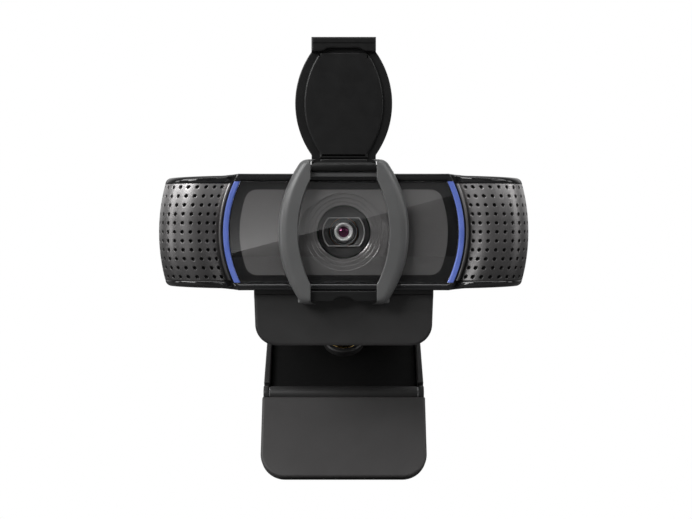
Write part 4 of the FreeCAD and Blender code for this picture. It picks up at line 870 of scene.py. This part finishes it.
def cover_outline(half_end, swell, low, high, corner):
    """The cover's outline: a straight neck, flanks that are arcs of one circle and a straight free end."""
    mid, top, low = COVER_AXIS[2] + np.array([SWELL_AT, high, low])
    reach = math.sqrt(SWELL_R ** 2 - (SWELL_R - (swell - half_end)) ** 2)
    right = arc((half_end, mid - reach), (swell, mid), (half_end, mid + reach), 48)
    end = rounded_outline(trapezium(half_end, top, half_end, top - 3), [corner, corner, 0.2, 0.2])
    above = end[end[:, 1] > top - 1.2]
    above = above[np.argsort(np.arctan2(above[:, 1] - (top - 3), above[:, 0]))]
    bottom = np.stack([np.linspace(-half_end, half_end, 20), np.full(20, low)], -1)
    up = np.linspace(low, mid - reach, 5)[1:-1]
    side = np.vstack([np.stack([np.full(len(up), half_end), up], -1), right])
    return np.vstack([bottom, side, above, side[::-1] * np.array([-1, 1])])


def end_lip():
    """The finger lip at the cover's free end: a round-edged bar whose inner foot rises in the middle, with a ridge."""
    top = COVER_AXIS[2] + COVER_LENGTH
    across = np.linspace(-COVER_HALF, COVER_HALF, 61)
    rise = 0.9 / (1 + np.exp((np.abs(across) - 4.6) * 2.6))
    low = np.stack([across, top - 3.7 + rise], -1)
    high = np.stack([across[::-1], np.full(61, top - 0.02)], -1)
    share = np.linspace(0, 1, 6)[1:-1, None]
    right, left = (a[-1] * (1 - share) + b[0] * share for a, b in ((low, high), (high, low)))
    outline = np.vstack([low, right, high, left])
    bar = pillow(outline, edge_profile(COVER_LIP, COVER_RIM + 0.3, 0.45, 0.05), facing)
    half = COVER_HALF - 0.25
    return [bar, block(-half, half, COVER_LIP, COVER_LIP + 0.6, top - 1.75, top - 1.35, 0.12)]


def cover_plate():
    """The cover's thin plate, with its hinge barrel, neck and thick end lip."""
    y, base, neck_half = COVER_AXIS[1], COVER_AXIS[2], COVER_HALF - 2.2
    outline = cover_outline(COVER_HALF, SWELL, 0.45, COVER_LENGTH, 0.8)
    plate = pillow(outline, edge_profile(COVER_RIM, COVER_BACK, 0.22, 0.4), facing)
    barrel = rod(y, base, HINGE_R, -COVER_HALF, COVER_HALF, 0.2)
    neck = block(-neck_half, neck_half, y + 0.1, COVER_BACK - 0.2, base + 0.3, base + 1.9, 0.3)
    return [plate, barrel, neck] + end_lip()


def inner_panel():
    """The raised panel on the cover's inner face."""
    outline = cover_outline(6.0, 9.9, 2.1, COVER_LENGTH - 3.75, 0.6)
    edge = edge_profile(COVER_PANEL, COVER_RIM + 0.2, 0.45, 0.05, 8)
    inset, depth = edge[-1]
    return pillow(outline, edge + [(inset + 0.4, depth)], facing)


make("Cover_moulding", cover_plate(), "cover_body", "cover_black", "shutter_cover")
make("Cover_inner_panel", [inner_panel()], "cover_body", "cover_black", "cover_liner")


# ---- Saddle -------------------------------------------------------------------------------------------
LIP_Y, LIP_T, LIP_LOW, LIP_HALF, LIP_HALF_LOW, LIP_CORNER = 4.0, 2.6, -28.7, 22.7, 22.2, 5.4
PLATE_TOP, PLATE_UNDER, SADDLE_REAR, REAR_CORNER = -17.7, -20.3, 21.7, 5.0
ROLL_R, ROLL_START = 3.0, 9.2
KNUCKLE_START, KNUCKLE_R = 14.45, 3.3


def saddle_parts():
    """The lip, its rounded top edge, the flat plate with the pad's seat, and the leg hinge's outer knuckles."""
    top, leg_y, leg_z = TILT_AXIS[2], LEG_AXIS[1], LEG_AXIS[2]
    lip = rounded_outline(trapezium(LIP_HALF_LOW, LIP_LOW, LIP_HALF, top - 0.4),
                          [LIP_CORNER, LIP_CORNER, 0.3, 0.3], turns=17)
    lip = pillow(lip, edge_profile(LIP_Y, LIP_Y + LIP_T, 0.75, 0.3, 8), facing)
    plate = rounded_outline(trapezium(LIP_HALF - 0.4, LIP_Y + 2.2, SADDLE_REAR, leg_y + 2.0),
                            [0.4, 0.4, REAR_CORNER, REAR_CORNER], turns=17)
    plate = pillow(plate, edge_profile(PLATE_TOP, PLATE_UNDER + 0.4, 0.8, 0.2, 8), lying)
    seat = (PLATE_UNDER, PLATE_UNDER + 1.2, 0.3)
    seat_end, seat_half = leg_y - 3.9, SADDLE_REAR - 0.3
    border = block(-LIP_HALF + 0.5, LIP_HALF - 0.5, LIP_Y + 1.6, 7.9, PLATE_UNDER, -17.0, 0.3)
    rear = block(-seat_half, seat_half, 58.1, seat_end, *seat)
    middle = block(-9.4, 9.4, LIP_Y + 0.3, LIP_Y + 1.0, -17.2, -15.75, 0.2)
    roll = rod(TILT_AXIS[1], top, ROLL_R, ROLL_START, LIP_HALF, 0.6, 72)
    side = block(19.6, SADDLE_REAR - 0.2, 7.0, seat_end, *seat)
    knuckle = rod(leg_y, leg_z, KNUCKLE_R, KNUCKLE_START, SADDLE_REAR, 0.5, 72)
    root = block(KNUCKLE_START, seat_half, leg_y - 2.4, leg_y + 1.9, leg_z, PLATE_UNDER + 0.5, 0.3)
    return [lip, plate, border, rear, middle] + both_sides(roll, side, knuckle, root)


def saddle_pad():
    """The saddle's rubber pad: a round-cornered sheet with shallow ribs across the way the screen slides in."""
    (_, front, under), (half, back, seat) = limits("saddle_pad")
    sheet = rounded_outline(trapezium(half, front, half, back), [1.5] * 4)
    shells = [pillow(sheet, edge_profile(under + 0.3, seat, 0.1, 0.05), lying)]
    rib_half = half - 1.2
    for y in np.arange(front + 1.6, back - 1.2, 1.6):
        shells.append(block(-rib_half, rib_half, y - 0.5, y + 0.5, under, under + 0.5, 0.24))
    return shells


def lip_pad():
    """The rubber pad on the lip's inner face, with upright ribs."""
    (_, seat, low), (half, face, high) = limits("lip_pad")
    sheet = rounded_outline(trapezium(half, low, half, high), [2.0] * 4)
    shells = [pillow(sheet, edge_profile(face - 0.3, seat, 0.15, 0.02), facing)]
    for x in np.arange(-half + 2.2, half - 1.8, 1.7):
        shells.append(block(x - 0.45, x + 0.45, face - 0.5, face, low + 0.9, high - 0.9, 0.2))
    return shells


make("Saddle_moulding", saddle_parts(), "saddle_body", "satin_black", "saddle")
make("Saddle_pad_ribbed", saddle_pad(), "saddle_body", "black_rubber", "saddle_pad")
make("Lip_pad_ribbed", lip_pad(), "saddle_body", "black_rubber", "lip_pad")


# ---- Leg and foot -------------------------------------------------------------------------------------
LEG_REAR, LEG_FRONT, LEG_INNER, LEG_STEP, LEG_TIP = 21.7, 22.1, 20.4, 3.7, LEG_LENGTH - 3.0
FLOOR_UNDER, FLOOR_TOP, FLANGE_TOP = -3.1, -1.4, 1.3
LEG_BARREL_R, LEG_BARREL_HALF, FOOT_BARREL_R, FOOT_KNUCKLE_R = 3.1, 14.2, 1.9, 2.1
FOOT_LENGTH, FOOT_TOP_HALF, FOOT_TIP_HALF, FOOT_CORNER = 24.3, 22.3, 22.45, 6.6
FOOT_PLATE_FRONT, FOOT_PLATE_BACK, FOOT_PAD_FRONT = 0.3, -2.1, 1.5
THREAD_PITCH = 0.635
INSERT_PLACE = from_datum(MOUNTS["tripod_thread"]["pos_m"])
INSERT_START = LEG_AXIS + ((INSERT_PLACE - LEG_AXIS) @ ALONG_LEG) * ALONG_LEG


def leg_parts():
    """The leg's floor, side flanges, hinge barrels and the boss round the tripod insert."""
    step, tip, inner = LEG_STEP, LEG_TIP, LEG_INNER - 0.1
    floor = rounded_outline(trapezium(LEG_REAR, step, LEG_FRONT, tip), [0.5] * 4)
    floor = pillow(floor, edge_profile(FLOOR_TOP, FLOOR_UNDER, 0.05, 0.5), on_leg)
    flange = [(LEG_INNER, step), (LEG_REAR, step), (LEG_FRONT, tip), (LEG_INNER, tip)]
    flange = pillow(rounded_outline(flange, [0.3] * 4, 0.9, 6),
                    edge_profile(FLANGE_TOP, FLOOR_UNDER + 0.1, 0.35, 0.3), on_leg)
    half = LEG_BARREL_HALF
    root = block(-half, half, 0.2, step + 0.6, FLOOR_UNDER, FLOOR_TOP, 0.35, on_leg)
    apron = block(-inner, inner, tip - 1.0, LEG_LENGTH - 0.6, FLOOR_UNDER, FLOOR_TOP, 0.5, on_leg)
    barrel = rod(LEG_AXIS[1], LEG_AXIS[2], LEG_BARREL_R, -half, half, 0.4, 72)
    end = rod(FOOT_AXIS[1], FOOT_AXIS[2], FOOT_BARREL_R, -inner, inner, 0.3)
    return [floor, root, apron, barrel, end, tripod_boss()] + both_sides(flange)


def tripod_boss():
    """A round boss for the insert, turned about the thread's axis."""
    high = FLANGE_TOP - 0.1
    profile = [(4.42, FLOOR_UNDER), (5.3, FLOOR_UNDER), (5.8, FLOOR_UNDER + 0.3), (5.8, FLANGE_TOP - 0.45),
               (5.45, high), (4.42, high), (4.42, FLOOR_UNDER)]
    return turned_about(INSERT_START, OUT_OF_LEG, RIGHT, profile, 96)


def tripod_insert():
    """The brass insert: a plain collar with chamfers, and a bore with ridges for the thread's turns."""
    low, high = FLOOR_UNDER, FLANGE_TOP - 0.12
    turns = np.arange(low + 0.5, high - 0.4, THREAD_PITCH)
    thread = [pair for h in turns for pair in ((2.95, h), (2.6, h + THREAD_PITCH / 2))]
    profile = [(4.38, low + 0.05), (4.3, low), (3.35, low), (3.0, low + 0.3)] + thread
    profile += [(3.0, high - 0.2), (3.3, high), (4.3, high), (4.38, high - 0.08), (4.38, low + 0.05)]
    return turned_about(INSERT_START, OUT_OF_LEG, RIGHT, profile, 96)


def leg_liner():
    """The rubber sheet in the leg's tray, with round corners and edges."""
    half = LEG_INNER - 0.2
    outline = rounded_outline(trapezium(half, LEG_STEP + 0.6, half, LEG_TIP - 0.4), [1.2] * 4)
    return pillow(outline, edge_profile(FLOOR_TOP + 0.7, FLOOR_TOP, 0.25, 0.05), on_leg)


def foot_outline(grow, start):
    """The foot's outline: sides that spread a little towards a tip with large round corners."""
    corners = trapezium(FOOT_TOP_HALF + grow, start, FOOT_TIP_HALF + grow, FOOT_LENGTH + grow)
    return rounded_outline(corners, [0.5, 0.5, FOOT_CORNER, FOOT_CORNER], turns=21)


def foot_parts():
    """The foot's plate and the ears that hold it on the leg's barrel."""
    front, back, inner, outer = FOOT_PLATE_FRONT, FOOT_PLATE_BACK, LEG_INNER + 0.2, FOOT_TOP_HALF - 0.2
    plate = pillow(foot_outline(0, 2.6), edge_profile(front, back, 0.05, 0.6, 7), on_foot)
    knuckle = rod(FOOT_AXIS[1], FOOT_AXIS[2], FOOT_KNUCKLE_R, inner, outer, 0.3, 48)
    arm = rounded_outline([(0.0, back), (3.4, back), (3.4, front), (0.0, 1.4)], [0.3] * 4, turns=5)
    arm = pillow(arm, edge_profile(outer, inner, 0.2, 0.1, 4), across_foot)
    return [plate] + both_sides(knuckle, arm)


foot_pad = pillow(foot_outline(0.1, 1.4), edge_profile(FOOT_PAD_FRONT, FOOT_PLATE_FRONT, 0.7, 0.05, 9), on_foot)
make("Leg_moulding", leg_parts(), "leg_body", "satin_black", "leg_frame")
make("Leg_liner_sheet", [leg_liner()], "leg_body", "black_rubber", "leg_liner")
make("Tripod_insert_turned", [tripod_insert()], "leg_body", "brass", "tripod_insert")
make("Foot_moulding", foot_parts(), "foot_body", "satin_black", "foot_plate")
make("Foot_pad_soft", [foot_pad], "foot_body", "soft_touch", "foot_pad")


# ---- Head shells --------------------------------------------------------------------------------------
RIM_Y, RIM_ROUND, GROOVE_Y, PARTING = 0.25, 0.3, 2.24, 6.0
BACK_R, BACK_Y, HEAD_DEPTH, TOP_ROUND, UNDER_ROUND = 153.5, -129.5, 24, 11.0, 8.0
OPEN_HALF, GRILLE_OPEN, WALL, PARTING_GAP = 12.75, 12.2, 0.8, 0.06
WALL_LEVELS = (0, 2, 4, 6, 8, 10, 11.4, GRILLE_OPEN, OPEN_HALF)
# Columns of the skin's grid over the flat front, the step to the grille, the grille, the wing's end and the back
FLAT_N, STEP_N, WING_N, REST_N, REAR_N = 26, 7, 56, 23, 33
RIGHT_N = FLAT_N + STEP_N + WING_N + REST_N + REAR_N


def head_height(x):
    """Half the head's height at a place x: level over the middle block, then sloping down along the wings."""
    return np.interp(np.abs(x), [0, 26.8, 28.4, 30.4, 44, 48.5], [HEAD_TOP, HEAD_TOP, 14.38, 14.15, 13.7, 13.35])


def plan_right(z):
    """The head's plan at height z on the right, from the middle of its front round to the middle of its back. Front
    and back are shares of their widths at that height; the wing is a circle turned about the lens axis."""
    flat_r = BLOCK_R - RIM_ROUND
    flat_x = np.linspace(0, 1, FLAT_N)[:, None] * np.sqrt(flat_r ** 2 - z ** 2)
    turn = np.linspace(0, math.pi / 2, 5)[1:]
    out = [flat_r + RIM_ROUND * math.sin(a) for a in turn] + [BLOCK_R + 0.02, BLOCK_R + 0.06, BLOCK_R + 0.3]
    y = [RIM_Y + RIM_ROUND * (1 - math.cos(a)) for a in turn] + [GROOVE_Y - 0.3, GROOVE_Y - 0.06, GROOVE_Y]
    rest = np.linspace(GRILLE_END, math.radians(165), REST_N + 1)[1:]
    lean = np.concatenate([np.linspace(GRILLE_START, GRILLE_END, WING_N), rest])
    out = np.concatenate([out, WING_MID + WING_R * np.sin(lean)])[:, None]
    y = np.concatenate([y, WING_Y - WING_R * np.cos(lean)])[:, None]
    back_x = np.linspace(1, 0, REAR_N + 1)[1:, None] * np.sqrt(out[-1] ** 2 - z ** 2)
    back_y = BACK_Y + np.sqrt(BACK_R ** 2 - back_x ** 2 - z ** 2)
    plan_x = np.concatenate([flat_x, np.sqrt(out ** 2 - z ** 2), back_x])
    return plan_x, np.concatenate([RIM_Y + 0 * flat_x, y + 0 * z, back_y])


def skin_plan(z, back_round):
    """The whole plan, each point at its own height z, cut off behind by the side view's rounded back."""
    left = np.concatenate([[z[0]], z[RIGHT_N:][::-1], [z[RIGHT_N - 1]]])
    (x, y), (left_x, left_y) = ([np.diagonal(part) for part in plan_right(heights[None])]
                                for heights in (z[:RIGHT_N], left))
    x, y = np.concatenate([x, -left_x[1:-1][::-1]]), np.concatenate([y, left_y[1:-1][::-1]])
    over = np.clip(z - (HEAD_TOP - back_round), 0, back_round)
    return np.stack([x, np.minimum(y, HEAD_DEPTH - back_round + np.sqrt(back_round ** 2 - over ** 2))], -1)


def skin_columns():
    """For each column of the skin all the way round: how far the plan draws in at the upper and lower edges, the
    share of the way it has turned to the back, and whether its top runs in from the front (-1) or the back (1)."""
    front = FLAT_N + STEP_N
    draw = [0.42] * (FLAT_N - 4) + [0.38, 0.34, 0.28, 0.24] + [0.22] * STEP_N + [0.5] * 4
    draw = np.array(draw + [0.95] * (WING_N + REST_N - 4) + [0.0] * REAR_N)
    behind = np.concatenate([np.zeros(front + WING_N), np.linspace(0, 1, REST_N), np.ones(REAR_N)])
    way = np.where(np.arange(RIGHT_N) < front + 53, -1.0, 1.0)
    return [np.concatenate([right, right[1:-1][::-1]]) for right in (draw * (1 - behind), behind, way)]


def skin_half(sign, back_round):
    """The skin's rows from the middle of the walls over the edge to the middle of the top, or, with sign -1, of the
    underside. At the edge the plan draws in along a quarter circle, which grows to a wide round at the back."""
    draw, behind, way = skin_columns()
    top = head_height(skin_plan(np.full(len(draw), 13.0), TOP_ROUND)[:, 0])
    drop = np.maximum(draw, 0.3) * (1 - behind) + behind * back_round
    wall = top - drop
    rows = []
    for n, level in enumerate(WALL_LEVELS):
        share, left = n / len(WALL_LEVELS), len(WALL_LEVELS) - n
        z = (1 - behind) * np.minimum(level, wall - 0.03 * left) + behind * share * wall
        rows.append(np.column_stack([skin_plan(z, back_round), sign * z]))
    for left, gone in quarter(12):
        z = top - drop * left
        plan = skin_plan(z, back_round)
        plan = plan + inward(plan) * (draw * gone)[:, None]
        height = z + (head_height(plan[:, 0]) - top) * (1 - left)
        rows.append(np.column_stack([plan, sign * height]))
    rim = rows[-1][:, 0]
    bow = np.sqrt(np.clip(1 - (rim / 47.3) ** 2, 0, 1))
    for share in np.linspace(1, 0, 5):
        x = 0.93 * rim * share
        rows.append(np.column_stack([x, 8 + 4 * way * bow * share, sign * head_height(x)]))
    return rows


def head_skin():
    """The head's outside as a grid, with rows from the middle of the underside to the middle of the top. The window's
    and the grilles' openings are left out."""
    under, over = skin_half(-1, UNDER_ROUND), skin_half(1, TOP_ROUND)
    points, middle = np.array(under[::-1][:-1] + over), len(under) - 1
    faces = np.array(quads(*points.shape[:2], round_columns=True))
    row, column = np.divmod(np.arange(len(faces)), points.shape[1])
    side = np.where(column < RIGHT_N, column, points.shape[1] - 1 - column)
    window_n, grille_n, front = WALL_LEVELS.index(OPEN_HALF), WALL_LEVELS.index(GRILLE_OPEN), FLAT_N + STEP_N
    in_window = (row >= middle - window_n) & (row < middle + window_n) & (side < front - 2)
    in_grille = (row >= middle - grille_n) & (row < middle + grille_n) & (side >= front)
    in_grille &= side < front + WING_N - 1
    return points.reshape(-1, 3), faces[~(in_window | in_grille)].tolist()


def head_shell(name, node, slot, front):
    """The half of the skin before or behind the parting line, with a wall. Points that nearly meet along the upper
    and lower edges are merged first, because slivers would turn the wall outwards."""
    made = make(name, [head_skin()], "head_body", slot, node, sharp=50)
    work = bmesh.new()
    work.from_mesh(made.data)
    cut_at = Vector(at_datum((0, PARTING + (-PARTING_GAP if front else PARTING_GAP), 0)))
    everything = [*work.verts, *work.edges, *work.faces]
    bmesh.ops.bisect_plane(work, geom=everything, dist=1e-7, plane_co=cut_at, plane_no=(0, 1, 0),
                           clear_outer=front, clear_inner=not front)
    loose = [v for v in work.verts if not v.link_faces]
    bmesh.ops.delete(work, geom=loose, context="VERTS")
    edge_on = [v for v in work.verts if abs(v.co.z - DATUM[2]) > 0.0132]
    bmesh.ops.remove_doubles(work, verts=edge_on, dist=0.00004)
    work.normal_update()
    middle = Vector(at_datum((0, 8, 0)))
    outwards = sum((f.calc_center_median() - middle).dot(f.normal) * f.calc_area() for f in work.faces)
    if outwards < 0:
        bmesh.ops.reverse_faces(work, faces=work.faces)
    work.to_mesh(made.data)
    work.free()
    wall = made.modifiers.new("Wall", "SOLIDIFY")
    wall.thickness = WALL / 1000
    wall.offset = -1


def web():
    """The wall behind the face plate, cut flat above and below, with the lens well's hole, and the thin fences that
    keep the guides' light off the grilles."""
    angles = np.linspace(0, 2 * math.pi, 160, endpoint=False)
    reach = flat_sided(BLOCK_R, OPEN_HALF, angles)
    front, back = PLATE_BACK + 0.02, 4.2
    rows = [(WELL_R, back), (WELL_R, front + 0.08), (WELL_R + 0.1, front), (reach, front), (reach, back)]
    wall = sheet_of(np.array([around(*row, angles) for row in rows]), round_rows=True, round_columns=True)
    section = [(0, 0.0, back), (0, 0.0, 0.6), (0, 0.06, 0.5), (1, 0.06, 0.5), (1, 0.0, 0.6), (1, 0.0, back)]
    return [wall] + both_sides(ring_band(30.24, 30.48, OPEN_HALF, 50, section))


head_shell("Front_bezel_shell", "front_bezel", "gloss_black", True)
head_shell("Rear_housing_shell", "rear_housing", "satin_black", False)
make("Bezel_web", web(), "head_body", "gloss_black", sharp=40)


# ---- Studio -------------------------------------------------------------------------------------------
SKY_UP, SKY_BEHIND, PANEL = 0.2, 0.9, 0.92
PANEL_Y, PANEL_HALF, PANEL_HEIGHT, PANEL_LOW, PANEL_SLOPE, PANEL_FADE = -1000.0, 700.0, 500.0, 7.0, 0.262, -28.0
VIEW_DISTANCE, VIEW_WIDTH, VIEW_RIGHT, VIEW_UP, SENSOR = 400.0, 173.0, 0.575, -6.875, 36.0
LAMPS = (       # name, place, target, width and height in millimetres from the datum, and watts
    ("Overhead", (0, -60, 560), (0, 5, 0), 900, 160, 0.7),
    ("Top_front", (0, -320, 520), (0, 0, 0), 760, 70, 1.0),
    ("Wing_left", (-620, -330, 420), (0, 0, 0), 300, 300, 2.4),
    ("Wing_right", (620, -330, 420), (0, 0, 0), 300, 300, 1.0),
    ("Side_left", (-680, -80, 80), (0, 0, 0), 160, 420, 0.8),
    ("Side_right", (680, -80, 80), (0, 0, 0), 160, 420, 0.5),
    ("Front_left", (-480, -620, 340), (0, 0, -10), 300, 300, 3.2),
    ("Front_right", (480, -620, 340), (0, 0, -10), 300, 300, 0.4),
)


def lamp(name, place, target, width, height, watts):
    """A soft rectangular lamp at a place, aimed at a target, unseen by the camera."""
    light = bpy.data.lights.new(name, "AREA")
    light.shape = "RECTANGLE"
    light.size, light.size_y = width / 1000, height / 1000
    light.energy = watts
    made = put_in_scene(name, light)
    here, there = Vector(at_datum(place)), Vector(at_datum(target))
    made.location = here
    made.rotation_euler = (there - here).to_track_quat("-Z", "Y").to_euler()
    made.visible_camera = False


def stage_sheet(name, corners, material):
    """A four-cornered sheet that belongs to the studio."""
    mesh = bpy.data.meshes.new(name)
    mesh.from_pydata(at_datum(corners).tolist(), [], [[0, 1, 2, 3]])
    mesh.materials.append(material)
    made = put_in_scene(name, mesh)
    return made


def floor():
    """A wide, plain, pale floor just under the lowest point, which the camera sees as white."""
    recipe = recipe_for("Pale_floor")
    pale = recipe.tint(recipe.noise(0.02, 3.0), (0.16, 0.16, 0.16), (0.18, 0.18, 0.18))
    recipe.shade(Base_Color=pale, Roughness=0.8, Specular_IOR_Level=0.1)
    recipe.instead("Is Camera Ray", recipe.shader, recipe.node("Emission"))
    low, reach = from_datum(CAD_LOW)[2] - 0.05, 4000.0
    corners = [(-reach, -reach, low), (reach, -reach, low), (reach, reach, low), (-reach, reach, low)]
    stage_sheet("Floor", corners, recipe.owner)


def key_panel():
    """A large glowing panel behind the camera, whose lower edge slants across the window's reflection. Its glow
    falls off with height above that edge, and from left to right."""
    recipe = recipe_for("Panel_glow")
    recipe.tree.nodes.remove(recipe.shader)
    x, z = recipe.axes["X"], recipe.axes["Z"]
    across = recipe.spread(x, 0.85 * PANEL, 0.2 * PANEL, -95.0, 90.0)
    above = recipe.math("SUBTRACT", z, recipe.math("MULTIPLY_ADD", x, PANEL_SLOPE, PANEL_LOW))
    fade = recipe.math("POWER", math.e, recipe.math("DIVIDE", above, PANEL_FADE))
    recipe.surface(recipe.node("Emission", Strength=recipe.math("MULTIPLY_ADD", fade, across, 0.05 * PANEL)))
    ends = [(side, PANEL_LOW + PANEL_SLOPE * side) for side in (-PANEL_HALF, PANEL_HALF)]
    corners = [(side, PANEL_Y, edge) for side, edge in ends]
    corners += [(side, PANEL_Y, edge + PANEL_HEIGHT) for side, edge in ends[::-1]]
    stage_sheet("Key_panel", corners, recipe.owner).visible_camera = False


def sky():
    """White behind the object for the camera, and a dim room, brighter above and behind, for light and reflections."""
    world = bpy.data.worlds.new("Studio")
    bpy.context.scene.world = world
    recipe = Recipe(world)
    white = recipe.fill(recipe.tree.nodes["Background"], {"Color": (1, 1, 1)})
    parts = recipe.node("SeparateXYZ", Vector=recipe.node("TexCoord").outputs["Generated"]).outputs
    upper = recipe.spread(parts["Z"], 0.1 * SKY_UP, SKY_UP, 0.1, 0.9)
    behind = recipe.spread(parts["Y"], 0.0, SKY_BEHIND, 0.2, 0.7)
    room = recipe.node("Background", Strength=recipe.math("ADD", upper, behind))
    recipe.instead("Is Camera Ray", room, white)


def camera():
    """A camera at lens height in front, with its frame moved down and right a little on the object."""
    data = bpy.data.cameras.new("Camera")
    data.sensor_width = SENSOR
    data.lens = SENSOR * VIEW_DISTANCE / VIEW_WIDTH
    data.shift_x, data.shift_y = VIEW_RIGHT / VIEW_WIDTH, VIEW_UP / VIEW_WIDTH
    data.clip_start, data.clip_end = 0.01, 50.0
    made = put_in_scene("Camera", data)
    made.location = Vector(at_datum((0, -VIEW_DISTANCE, 0)))
    made.rotation_euler = (math.pi / 2, 0, 0)
    bpy.context.scene.camera = made


floor()
key_panel()
sky()
camera()
for settings in LAMPS:
    lamp(*settings)
bpy.context.scene.view_settings.view_transform = "Standard"
